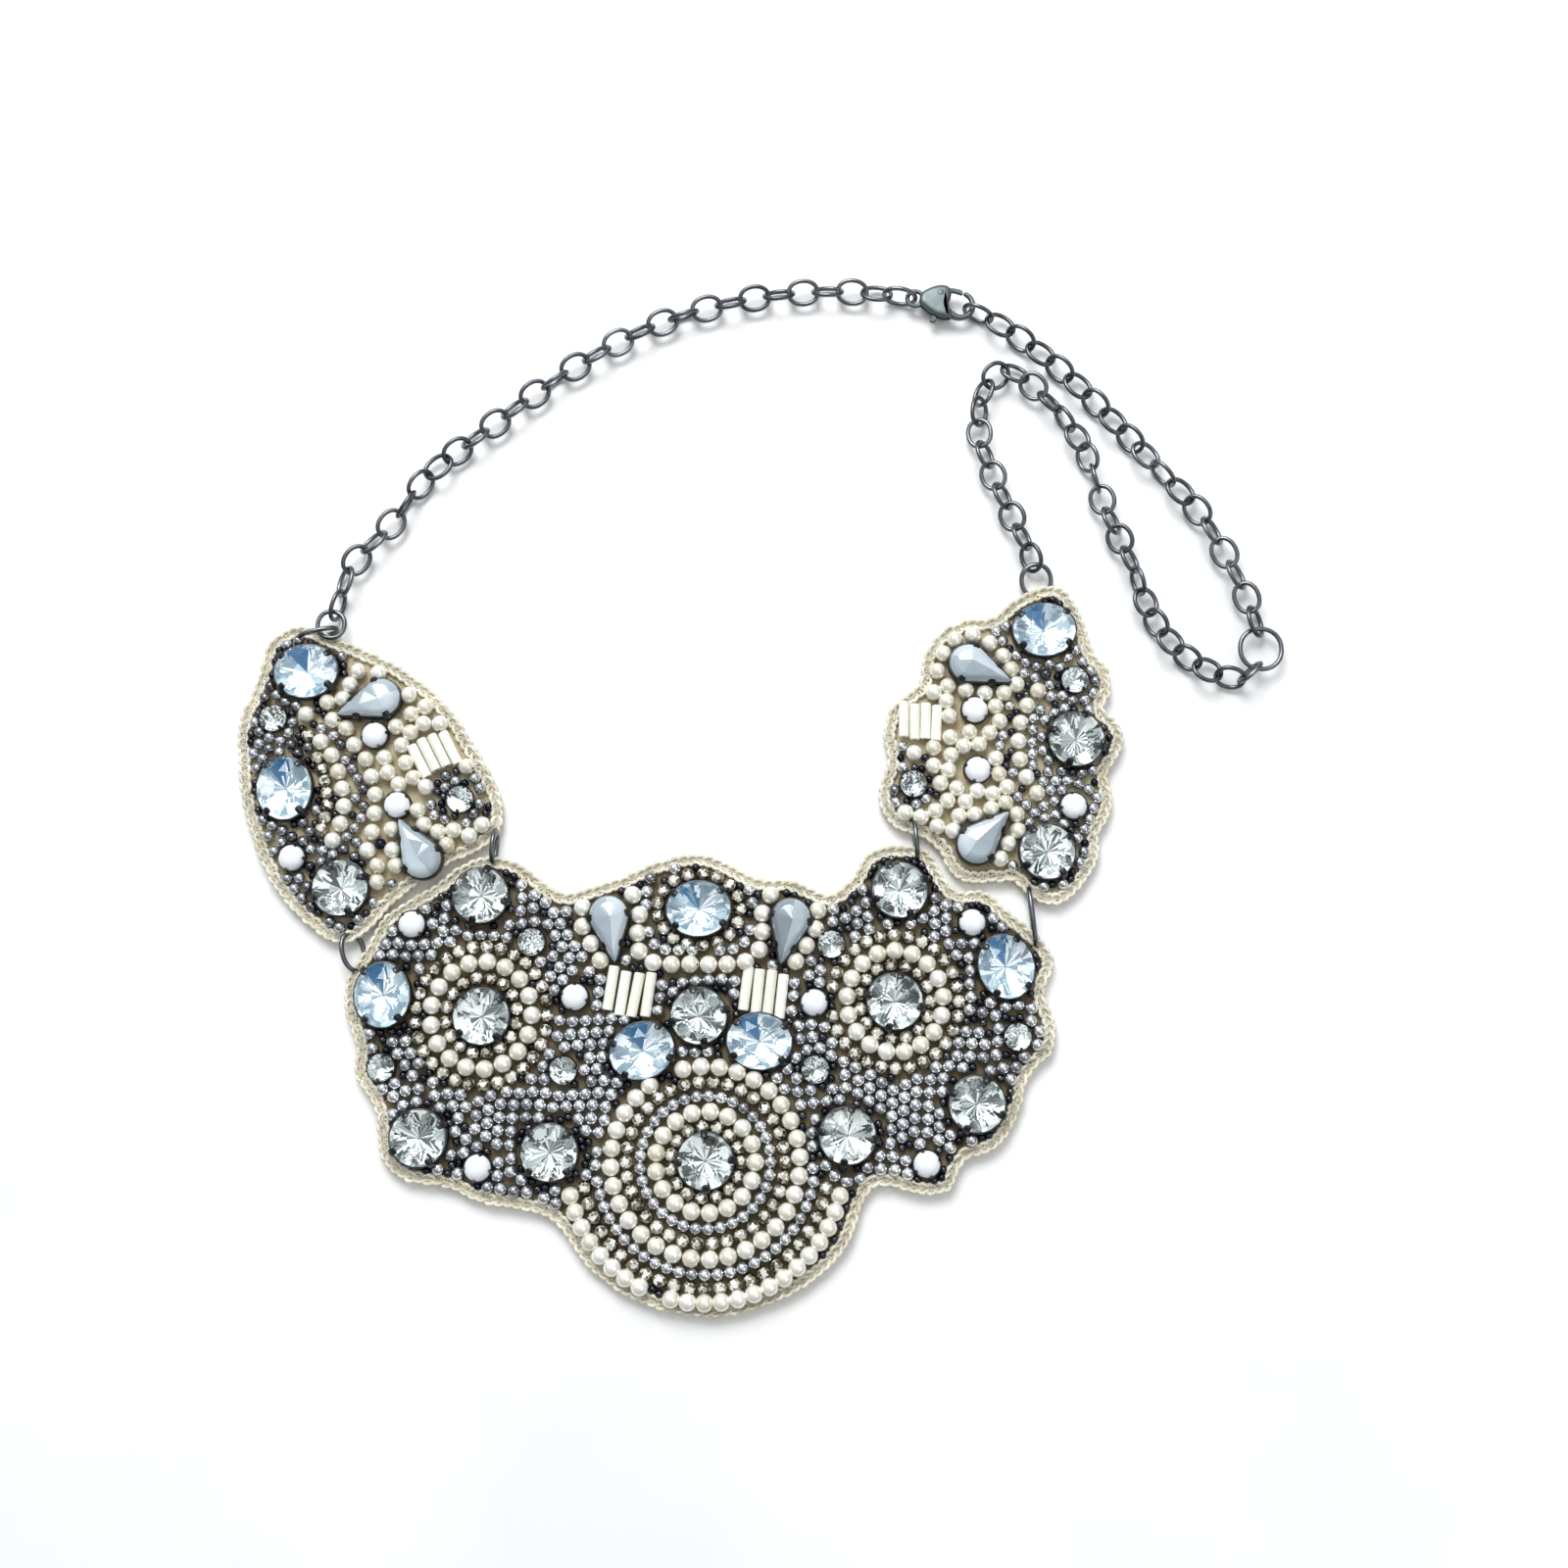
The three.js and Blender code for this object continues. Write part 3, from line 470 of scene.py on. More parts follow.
def shader(name, colour, roughness, metallic=0.0, **sockets):
    """A Principled material; returns it with its node tree and the shader node."""
    material = bpy.data.materials.new(name)
    material.use_nodes = True
    tree = material.node_tree
    principled = tree.nodes["Principled BSDF"]
    principled.inputs["Base Color"].default_value = (*colour, 1)
    principled.inputs["Roughness"].default_value = roughness
    principled.inputs["Metallic"].default_value = metallic
    for socket, value in sockets.items():
        principled.inputs[socket.replace("_", " ")].default_value = value
    return material, tree, principled


def ramp(tree, stops):
    node = tree.nodes.new("ShaderNodeValToRGB")
    elements = node.color_ramp.elements
    while len(elements) < len(stops):
        elements.new(0.5)
    for element, (place, colour) in zip(elements, stops):
        element.position = place
        element.color = (*colour, 1)
    return node


def noise(tree, scale, detail=3.0, stretch=None):
    """Noise over the object's own coordinates; scale is in waves per metre."""
    place = tree.nodes.new("ShaderNodeTexCoord")
    out = place.outputs["Object"]
    if stretch:
        mapping = tree.nodes.new("ShaderNodeMapping")
        mapping.inputs["Scale"].default_value = stretch
        tree.links.new(out, mapping.inputs["Vector"])
        out = mapping.outputs["Vector"]
    node = tree.nodes.new("ShaderNodeTexNoise")
    node.inputs["Scale"].default_value = scale
    node.inputs["Detail"].default_value = detail
    tree.links.new(out, node.inputs["Vector"])
    return node.outputs["Fac"]


def clouds(tree, stops, scale, detail=3.0):
    """Colours that follow noise."""
    colours = ramp(tree, stops)
    tree.links.new(noise(tree, scale, detail), colours.inputs["Fac"])
    return colours.outputs["Color"]


def bump(tree, principled, height, strength, distance):
    node = tree.nodes.new("ShaderNodeBump")
    node.inputs["Strength"].default_value = strength
    node.inputs["Distance"].default_value = distance
    tree.links.new(height, node.inputs["Height"])
    tree.links.new(node.outputs["Normal"], principled.inputs["Normal"])


def product(tree, first, second):
    node = tree.nodes.new("ShaderNodeMix")
    node.data_type = "RGBA"
    node.blend_type = "MULTIPLY"
    node.inputs["Factor"].default_value = 1.0
    tree.links.new(first, node.inputs["A"])
    tree.links.new(second, node.inputs["B"])
    return node.outputs["Result"]


def grey(value):
    return (value, value, value)


def by_tone(name, stops, roughness, grain, metallic=0.0, rough_range=None, **sockets):
    """A material whose colour follows each bead's or facet's tone, clouded by noise.

    grain is the noise's scale, then how much it darkens and lightens.
    """
    material, tree, principled = shader(name, (0.5, 0.5, 0.5), roughness, metallic, **sockets)
    tone = tree.nodes.new("ShaderNodeAttribute")
    tone.attribute_name = "tone"
    colours = ramp(tree, stops)
    tree.links.new(tone.outputs["Fac"], colours.inputs["Fac"])
    scale, low, high = grain
    shade = clouds(tree, [(0.3, grey(low)), (0.7, grey(high))], scale)
    result = product(tree, colours.outputs["Color"], shade)
    tree.links.new(result, principled.inputs["Base Color"])
    if rough_range:
        spread = tree.nodes.new("ShaderNodeMapRange")
        spread.inputs["To Min"].default_value = rough_range[0]
        spread.inputs["To Max"].default_value = rough_range[1]
        tree.links.new(noise(tree, 900), spread.inputs["Value"])
        tree.links.new(spread.outputs["Result"], principled.inputs["Roughness"])
    return material


def fabric(name, colours, fibre, weave, strength):
    """A napped material; fibre and weave are its bump's scale and stretch."""
    material = by_tone(name, colours, 0.95, (260, 0.82, 1.06),
                       Sheen_Weight=0.25, Sheen_Roughness=0.6)
    tree = material.node_tree
    bump(tree, tree.nodes["Principled BSDF"], noise(tree, fibre, 6, weave), strength, 0.0004)
    return material


# The felt ramp's dark end, near tone 0, is painted shade for the gaps between the centre panel's
# beads.
felt_look = fabric(
    "felt", [(0, (0.15, 0.11, 0.055)), (0.5, (0.58, 0.49, 0.31)), (1, (0.72, 0.63, 0.43))],
    2600, (1, 1, 1), 0.8)
yarn_look = fabric(
    "crochet_yarn", [(0, (0.72, 0.65, 0.48)), (1, (0.96, 0.93, 0.80))], 3400, (1, 1, 2.2), 0.7)

pearl_look = by_tone(
    "pearl_glaze",
    [(0, (0.72, 0.66, 0.50)), (0.5, (0.87, 0.84, 0.72)), (1, (0.95, 0.94, 0.88))],
    0.26, metallic=0.3, grain=(500, 0.96, 1.03), rough_range=(0.2, 0.32),
    Coat_Weight=1.0, Coat_Roughness=0.05, Coat_IOR=1.9, Specular_IOR_Level=0.7)
seed_look = by_tone(
    "silvered_glass",
    [(0, (0.02, 0.022, 0.04)), (0.14, (0.10, 0.105, 0.125)), (0.3, (0.28, 0.285, 0.31)),
     (0.6, (0.68, 0.71, 0.76)), (1, (0.95, 0.98, 1.0))],
    0.12, metallic=0.92, grain=(700, 0.8, 1.04), rough_range=(0.07, 0.17))
# Near-black hole faces: painted shade for the depth of each bead's hole.
hole_shade_look = by_tone(
    "bead_hole_shade", [(0, (0.022, 0.02, 0.022)), (1, (0.04, 0.037, 0.038))], 0.7,
    grain=(900, 0.8, 1.1))
bugle_look = by_tone(
    "bugle_glaze", [(0, (0.84, 0.84, 0.73)), (1, (0.95, 0.95, 0.88))], 0.3,
    grain=(600, 0.94, 1.03), Coat_Weight=0.4, Coat_Roughness=0.15)
gunmetal_look = by_tone(
    "gunmetal_plating", [(0, (0.085, 0.093, 0.105)), (1, (0.21, 0.225, 0.245))], 0.3,
    metallic=1.0, grain=(420, 0.7, 1.15), rough_range=(0.2, 0.36))
claw_look = by_tone(
    "dark_claws", [(0, (0.035, 0.037, 0.04)), (1, (0.13, 0.135, 0.14))], 0.32,
    metallic=1.0, grain=(600, 0.75, 1.1), rough_range=(0.22, 0.42))
clasp_look = by_tone(
    "clasp_plating", [(0, (0.04, 0.045, 0.048)), (1, (0.17, 0.20, 0.205))], 0.4,
    metallic=0.9, grain=(420, 0.8, 1.1), rough_range=(0.36, 0.5))
cup_look = by_tone(
    "aged_cups", [(0, (0.07, 0.065, 0.05)), (0.6, (0.30, 0.26, 0.17)), (1, (0.55, 0.50, 0.38))],
    0.3, metallic=1.0, grain=(600, 0.75, 1.1), rough_range=(0.2, 0.4))
white_look = by_tone(
    "white_glass", [(0, (0.80, 0.84, 0.90)), (1, (0.88, 0.91, 0.95))], 0.16,
    grain=(300, 0.97, 1.02), Coat_Weight=0.5, Coat_Roughness=0.05)
opal_look = by_tone(
    "milky_opal",
    [(0, (0.18, 0.22, 0.25)), (0.45, (0.35, 0.42, 0.47)), (1, (0.58, 0.66, 0.72))],
    0.14, grain=(150, 0.9, 1.08), Coat_Weight=0.7, Coat_Roughness=0.03)
# The foils' ramps run from painted dark reflection to painted white glint; the blue foil's pale
# blues are the stone's own.
blue_foil_look = by_tone(
    "blue_foil",
    [(0, (0.0, 0.09, 0.22)), (0.12, (0.02, 0.16, 0.33)), (0.2, (0.16, 0.24, 0.30)),
     (0.5, (0.47, 0.57, 0.63)), (0.8, (0.75, 0.81, 0.85)), (1, (0.96, 0.98, 1.0))],
    0.15, metallic=0.3, grain=(300, 0.97, 1.02))
clear_foil_look = by_tone(
    "clear_foil",
    [(0, (0.02, 0.023, 0.023)), (0.3, (0.18, 0.205, 0.205)), (0.55, (0.45, 0.505, 0.515)),
     (0.8, (0.81, 0.87, 0.88)), (1, (0.98, 1.0, 1.0))],
    0.15, metallic=0.3, grain=(300, 0.97, 1.02))
# Opaque chaton facets whose ramp runs from painted dark reflection to painted white glint.
chaton_glint_look = by_tone(
    "chaton_facets",
    [(0, (0.06, 0.055, 0.04)), (0.3, (0.28, 0.25, 0.17)), (0.6, (0.62, 0.60, 0.50)),
     (1, (0.96, 0.96, 0.93))],
    0.12, metallic=0.3, grain=(500, 0.85, 1.05), Coat_Weight=0.8, Coat_Roughness=0.03)


def glass(name, colour):
    material, tree, principled = shader(name, colour, 0.02, IOR=1.52, Transmission_Weight=1.0)
    tint = clouds(tree, [(0.35, tuple(v * 0.9 for v in colour)), (0.65, colour)], 120)
    tree.links.new(tint, principled.inputs["Base Color"])
    return material


blue_glass_look = glass("icy_glass", (0.965, 0.985, 0.995))
clear_glass_look = glass("clear_glass", (0.975, 0.985, 0.98))


def table_top():
    material, tree, principled = shader("table_top", (0.9, 0.9, 0.9), 0.6)
    tint = clouds(tree, [(0.40, (0.87, 0.875, 0.885)), (0.54, (0.93, 0.93, 0.93))], 7, 8)
    tree.links.new(tint, principled.inputs["Base Color"])
    return material


# ---------------------------------------------------------------- felt and crocheted border

rng = np.random.default_rng(7)
borders = {side: outline(points, BORDER_POINTS) for side, points in OUTLINES.items()}


def anticlockwise(loop):
    return loop if area_of(loop) > 0 else loop[::-1]


def build_felt(side):
    border = anticlockwise(borders[side])
    normal = outward(border)
    points, faces = stack([at_height(border - normal * inset, z) for inset, z in FELT_PROFILE])
    felt = Mesh()
    # The top face takes the panel's tone: painted shade on the centre panel, felt colour on the
    # sides.
    felt.add(points, faces, 0, [FELT_SIDE_TONE] * (len(faces) - 1) + [FELT_TONES_AND_SHADE[side]])
    obj = felt.write(f"felt_{side}", [felt_look], "felt", f"panel_{side}")


def at_border(border, normal, along, inset):
    """Points at places along a border, counted in its own samples, and inside it."""
    n = len(border)
    low = np.floor(along).astype(int)
    share = (along - low)[:, None]
    point = border[low % n] * (1 - share) + border[(low + 1) % n] * share
    side = normal[low % n] * (1 - share) + normal[(low + 1) % n] * share
    return point - side * np.asarray(inset)[:, None]


def build_edging(side):
    border = anticlockwise(borders[side])
    normal = outward(border)
    stitches = int(round(length_of(border, True) / STITCH))
    step = len(border) / stitches
    edging = Mesh()

    def yarn(along, across, z, radius, sides, tone, **how):
        line = np.column_stack([at_border(border, normal, along, across), z])
        edging.add(*tube(line, radius, sides, **how), 0, tone)

    # A padded core under the stitches.
    core = [at_height(border - normal * (CORE_MIDDLE[0] - CORE_HALF[0] * math.cos(angle)),
                      CORE_MIDDLE[1] + CORE_HALF[1] * math.sin(angle))
            for angle in full_turn(CORE_SIDES)]
    edging.add(*stack(core, wrap=True), 0, CORE_SHADE_TONE)
    # Chain stitches on top: two legs each, that dive under the next stitch.
    leg = np.linspace(0, 1, 8)
    for i in range(stitches):
        start = i * step
        wobble = rng.normal(0, 0.1, 4)
        tone = float(np.clip(rng.normal(0.6, 0.2), 0, 1))
        for hand in (-1, 1):
            along = start + (-0.30 + 1.5 * leg + 0.05 * wobble[0]) * step
            across = (CHAIN_INSET + hand * (0.16 + 0.88 * np.sin(math.pi * leg ** 0.75))
                      + wobble[1])
            z = 2.2 + 0.6 * np.sin(math.pi * np.clip(leg * 1.12, 0, 1)) + 0.06 * hand + wobble[2]
            yarn(along, across, z, YARN * (0.75 + 0.35 * np.sin(math.pi * leg)), 6, tone)
        # The post that goes down the outside and under.
        down = np.linspace(0, 1, 7)
        along = start + (0.1 + 0.5 * down) * step
        inset = 0.95 - 0.68 * np.sin(math.pi * (0.12 + 0.76 * down))
        # The post is painted a fifth darker: painted shade down the outside and under.
        yarn(along, inset, 2.35 - 1.97 * down, YARN * 0.85, 6, tone * 0.8, up=(0.01, 0.02, 1))
        # The stitch into the felt.
        along = start + (0.35 + 0.25 * down) * step + wobble[3]
        inset = 1.55 + (1.05 + 0.3 * wobble[3]) * down
        z = 2.3 + 0.28 * np.sin(math.pi * down) - 0.25 * down
        yarn(along, inset, z, YARN * 0.62, 5, tone)
        # Loose fibres.
        for _ in range(FIBRES):
            middle = start + rng.uniform(0, 1) * step
            across = rng.uniform(0.4, 2.5)
            slant = rng.normal(0, 0.5, 2)
            share = np.linspace(-1, 1, 5)
            z = (2.75 - 0.28 * (across - CHAIN_INSET) ** 2 + rng.uniform(0.05, 0.4)
                 - 0.35 * share ** 2)
            yarn(middle + share * slant[0] * step, across + share * slant[1] + 0.2 * share ** 2,
                 z, FIBRE, 3, FIBRE_TONE)
    edging.write(f"crochet_{side}", [yarn_look], "yarn", f"edging_{side}", smooth=(0,))


# ---------------------------------------------------------------- stones


def ellipse(length, width, count):
    angle = full_turn(count, 0.5)
    return np.column_stack([length / 2 * np.cos(angle), width / 2 * np.sin(angle)])


def drop_shape(length, width, count):
    """A round end at -X and a tip at +X."""
    radius = width / 2
    middle = radius - length / 2
    flank = math.acos(radius / (length - radius))
    arc = np.linspace(flank, 2 * math.pi - flank, 60)
    loop = np.column_stack([middle + radius * np.cos(arc), radius * np.sin(arc)])
    tip = np.array([[length / 2 - 0.05, -0.25], [length / 2, 0], [length / 2 - 0.05, 0.25]])
    return spaced(np.vstack([tip[1:], loop, tip[:1]]), count, True)


def crown(loop, low, girdle, top, table):
    """A cut stone's solid: flat under the girdle, brilliant facets above; table is its share."""
    count = len(loop)
    half = count // 2
    points = np.vstack([
        at_height(loop * 0.985, low),
        at_height(loop, girdle),
        at_height(loop[1::2] * (0.62 + 0.38 * table), girdle + 0.62 * (top - girdle)),
        at_height(loop[0::2] * table, top),
    ])
    u, r, m, t = 0, count, 2 * count, 2 * count + half
    faces = [tuple(range(count - 1, -1, -1)), tuple(range(t, t + half))]
    for i in range(count):
        j = (i + 1) % count
        faces.append((u + i, u + j, r + j, r + i))
    for i in range(half):
        j = (i + 1) % half
        faces.append((t + i, m + i, t + j))
        faces.append((t + i, m + (i - 1) % half, r + 2 * i, m + i))
        faces.append((m + i, r + 2 * i, r + 2 * i + 1))
        faces.append((m + i, r + 2 * i + 1, r + (2 * i + 2) % count))
    return points, faces


def opal(loop):
    """A drop: a rounded shoulder, then two broad planes that meet along a ridge."""
    count = len(loop)
    middle = np.array([-1.4, 0.0])
    height = TABLE - GIRDLE
    rings = [(loop * 0.985, GIRDLE - 0.05), (loop, GIRDLE + 0.15)]
    for share, rise in ((0.97, 0.3), (0.9, 0.52), (0.8, 0.68), (0.68, 0.8)):
        rings.append((middle + (loop - middle) * share, GIRDLE + rise * height))
    points, faces = stack([at_height(ring, z) for ring, z in rings])
    faces.pop()
    top = rings[-1][0]
    ridge = [len(points), len(points) + 1]
    points = np.vstack([points, [middle[0] - 1.2, 0.5, TABLE],
                        [middle[0] + 3.4, 0.2, TABLE - 0.1]])
    start = (len(rings) - 1) * count
    far = [min((0, 1), key=lambda k: np.hypot(*(points[ridge[k]][:2] - p))) for p in top]
    for i in range(count):
        j = (i + 1) % count
        faces.append((start + i, start + j, ridge[far[i]]))
        if far[i] != far[j]:
            faces.append((start + j, ridge[far[j]], ridge[far[i]]))
    heights = np.array([points[list(face)].mean(axis=0) for face in faces])
    # Painted light and shade: the plane on the drop's +Y side is lighter, the other darker, and the
    # round end lighter still.
    tones = np.where(heights[:, 1] > 0.2, 0.8, 0.38) + 0.12 * (heights[:, 0] < -3)
    looks = (heights[:, 2] < GIRDLE + 0.79 * height).astype(int)
    return points, faces, looks, np.clip(tones, 0, 1)


def squarish(angles, power):
    """Cosines and sines of angles, made fuller than a circle's by a power under 1."""
    cos, sin = np.cos(angles), np.sin(angles)
    return np.sign(cos) * np.abs(cos) ** power, np.sign(sin) * np.abs(sin) ** power


def cup(loop, bottom, girdle, depth, wall):
    """A setting: outside wall, rim, and a faceted foil cone inside; with each face's look."""
    normal = outward(loop)
    count = len(loop)
    height = girdle - bottom
    profile = (
        (loop + normal * wall * 0.2, bottom),
        (loop + normal * wall, bottom + 0.25 * height),
        (loop + normal * wall, girdle - 0.22),
        (loop + normal * wall * 0.55, girdle - 0.02),
        (loop * 0.985, girdle - 0.08),
        (loop * 0.76, girdle - 0.12 - 0.38 * depth),
        (loop * 0.42, girdle - 0.12 - 0.72 * depth),
        (loop * 0.06, girdle - 0.15 - depth),
    )
    points, faces = stack([at_height(ring, z) for ring, z in profile])
    return points, faces, [0] * (4 * count) + [1] * (3 * count) + [0, 1]


def claw(foot, normal, bottom, girdle, reach, width):
    """A prong on a setting's wall that bends over the girdle."""
    out = np.array([0.5, 0.52, 0.42, 0.05, -0.45, -0.8, -0.95]) * reach
    up = np.array([bottom - girdle + 0.4, -0.35, 0.35, 0.78, 1.12, 1.34, 1.3])
    up = up * (0.6 + 0.4 * reach)
    line = np.column_stack([foot + np.outer(out, normal), girdle + up])
    wide = width * np.array([0.8, 0.85, 0.95, 1.0, 1.0, 0.9, 0.45])
    outside = np.array([*normal, 1.0])
    side = np.array([-normal[1], normal[0], 0.0])
    across, through = squarish(full_turn(8), 0.7)
    rings = []
    for point, direction, w in zip(line, np.gradient(line, axis=0), wide):
        direction = direction / np.linalg.norm(direction)
        thick = np.cross(side, direction)
        thick = thick if thick @ outside > 0 else -thick
        rings.append(point + np.outer(across * w / 2, side)
                     + np.outer(through * CLAW_THICK * (0.55 + 0.45 * reach), thick))
    return stack(rings)


def placed(points, x, y, turn=0.0):
    points = np.asarray(points, float).copy()
    points[:, :2] = turned(points[:, :2], turn) + (x, y)
    return points


def facing_out(points, faces):
    """Faces turned so that the body's volume is positive."""
    volume = 0.0
    for face in faces:
        a = points[face[0]]
        for i in range(1, len(face) - 1):
            volume += a @ np.cross(points[face[i]], points[face[i + 1]])
    return faces if volume > 0 else [face[::-1] for face in faces]


CUTS = {"oval": (14, 12), "round": (12, 12), "drop": (14.5, 8.5)}
CLAW_BEARINGS = {"oval": (38, 142, 218, 322), "round": (52, 142, 232, 322),
                 "drop": (28, 125, 235, 332)}
SMALL_BEARINGS = (45, 135, 225, 315)


def read_stones():
    """Each large stone's cut, middle and bearing, from its CAD solid."""
    stones = {}
    for name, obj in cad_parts.items():
        if not name.startswith(("stone_", "drop_")):
            continue
        points = np.array([v.co[:2] for v in obj.data.vertices]) / MM
        middle = (points.min(axis=0) + points.max(axis=0)) / 2
        spread = points - points.mean(axis=0)
        values, vectors = np.linalg.eigh(spread.T @ spread)
        axis = vectors[:, 1]
        if name.startswith("drop_"):
            cut = "drop"
            along = spread @ axis
            if abs(along.min()) > abs(along.max()):
                axis = -axis
            across = np.array([-axis[1], axis[0]])
            middle = sum(way * ((points @ way).min() + (points @ way).max()) / 2
                         for way in (axis, across))
        else:
            cut = "oval" if values[1] > 1.15 * values[0] else "round"
        turn = math.degrees(math.atan2(axis[1], axis[0]))
        if cut == "oval" and axis[0] < -0.3:
            turn += 180
        if cut == "round":
            turn = 37.0 * len(stones)
        stones[name] = (cut, middle, turn)
    return stones


stones = read_stones()


def side_of(point):
    for side in ("left", "right", "centre"):
        if inside(np.array([point]), borders[side])[0]:
            return side
    raise ValueError(point)


def loop_of(cut, count):
    length, width = CUTS[cut]
    return drop_shape(length, width, count) if cut == "drop" else ellipse(length, width, count)


def foil_tones(count, rows, turn, blue, together):
    """How bright each foil facet is: painted white glints, middling, or painted dark reflections,
    with so many alike together.
    """
    pairs = count // together
    kinds = rng.choice(3, (rows, pairs), p=FOIL_SHARES)
    tones = FOIL_TONES[kinds] + rng.normal(0, FOIL_SPREAD, (rows, pairs))
    if blue:
        bearing = np.radians((np.arange(pairs) + 0.5) / pairs * 360 + turn)
        away = bearing - math.radians(BLUE_BEARING)
        away = np.abs((away + math.pi) % (2 * math.pi) - math.pi)
        # The patch is a painted dark blue reflection at a fixed bearing.
        patch = (away < BLUE_HALF) & (rng.random(tones.shape) < BLUE_SHARE)
        tones = np.where(patch, BLUE_TONE, np.maximum(tones, DARKEST_PALE))
    return np.repeat(np.clip(tones, 0, 1), together, axis=1).ravel()


def add_setting(mesh, loop, at, girdle, depth, wall, bearings, reach, width, blue, together):
    """A cup with its foil and its claws, at x, y and a turn."""
    count = len(loop)
    points, faces, looks = cup(loop, CUP_BOTTOM, girdle, depth, wall)
    tones = np.full(len(faces), CUP_TONE)
    tones[4 * count:7 * count] = foil_tones(count, 3, at[2], blue, together)
    mesh.put(points, faces, [look * (2 if blue else 1) for look in looks], tones, at)
    normal = outward(loop)
    angles = np.degrees(np.arctan2(loop[:, 1], loop[:, 0])) % 360
    for bearing in bearings:
        i = int(np.argmin(np.abs((angles - bearing + 180) % 360 - 180)))
        mesh.put(*claw(loop[i], normal[i], CUP_BOTTOM, girdle, reach, width), 0,
                 rng.uniform(0.1, 0.6), at)


def build_stones():
    settings = {side: Mesh() for side in OUTLINES}
    for name, (cut, middle, turn) in stones.items():
        mesh = settings[side_of(middle)]
        blue = cut == "oval"
        at = (*middle, turn)
        fine = loop_of(cut, STONE_SIDES)
        add_setting(mesh, fine, at, GIRDLE, CUP_DEPTH, CUP_WALL, CLAW_BEARINGS[cut],
                    CLAW_REACH, CLAW_WIDTH, blue, 1)
        if cut == "drop":
            points, faces, looks, tones = opal(fine)
            tones = tones - (DARK_DROP if name == "drop_centre_right" else 0)
            look, label = opal_look, "opal"
        else:
            points, faces = crown(loop_of(cut, CROWN_SIDES), GIRDLE - 0.05, GIRDLE + 0.15,
                                  TABLE, 0.5)
            looks, tones = 0, rng.uniform(0.3, 0.9, len(faces))
            look, label = (blue_glass_look if blue else clear_glass_look), "crystal"
        stone = Mesh()
        stone.put(points, faces, looks, tones, at)
        obj = stone.write(f"{label}_{name.split('_', 1)[1]}", [look, look], label, name,
                          smooth=(1,))
        obj.visible_shadow = cut == "drop"
    for side, mesh in settings.items():
        mesh.write(f"claw_settings_{side}", [claw_look, clear_foil_look, blue_foil_look],
                   "setting", f"settings_{side}", smooth=(0,))


# ---------------------------------------------------------------- bead layout

# The circles that cover each cut, as (along its axis, radius).
COVERS = {
    "round": [(0, 6.25)],
    "oval": [(-1, 6.2), (0, 6.25), (1, 6.2)],
    "drop": [(-3, 4.4), (-1, 4.1), (0.8, 3.3), (2.6, 2.5), (4.4, 1.7), (6, 1.0)],
}
SMALL_COVER, BUGLE_COVER = SMALL_STONE + 0.15, 1.25


def bugle_offset(i, apart):
    """How far a group's bugle lies to the side of the group's middle."""
    return (i - (BUGLE_COUNT - 1) / 2) * apart


def obstacles_of(side):
    """Circles (x, y, radius) that stand for what is already on a panel."""
    circles = []

    def cover(middle, turn, along, across, radius):
        circles.append((*(turned([[along, across]], turn)[0] + middle), radius))

    for cut, middle, turn in stones.values():
        if side_of(middle) == side:
            for along, radius in COVERS[cut]:
                cover(middle, turn, along, 0, radius)
    circles += [(x, y, SMALL_COVER) for x, y in SMALL_STONES[side]]
    for x, y, length, turn, apart in BUGLES[side]:
        for i in range(BUGLE_COUNT):
            for along in np.linspace(-0.5, 0.5, 7) * (length - 2.2):
                cover((x, y), turn, along, bugle_offset(i, apart), BUGLE_COVER)
    return circles


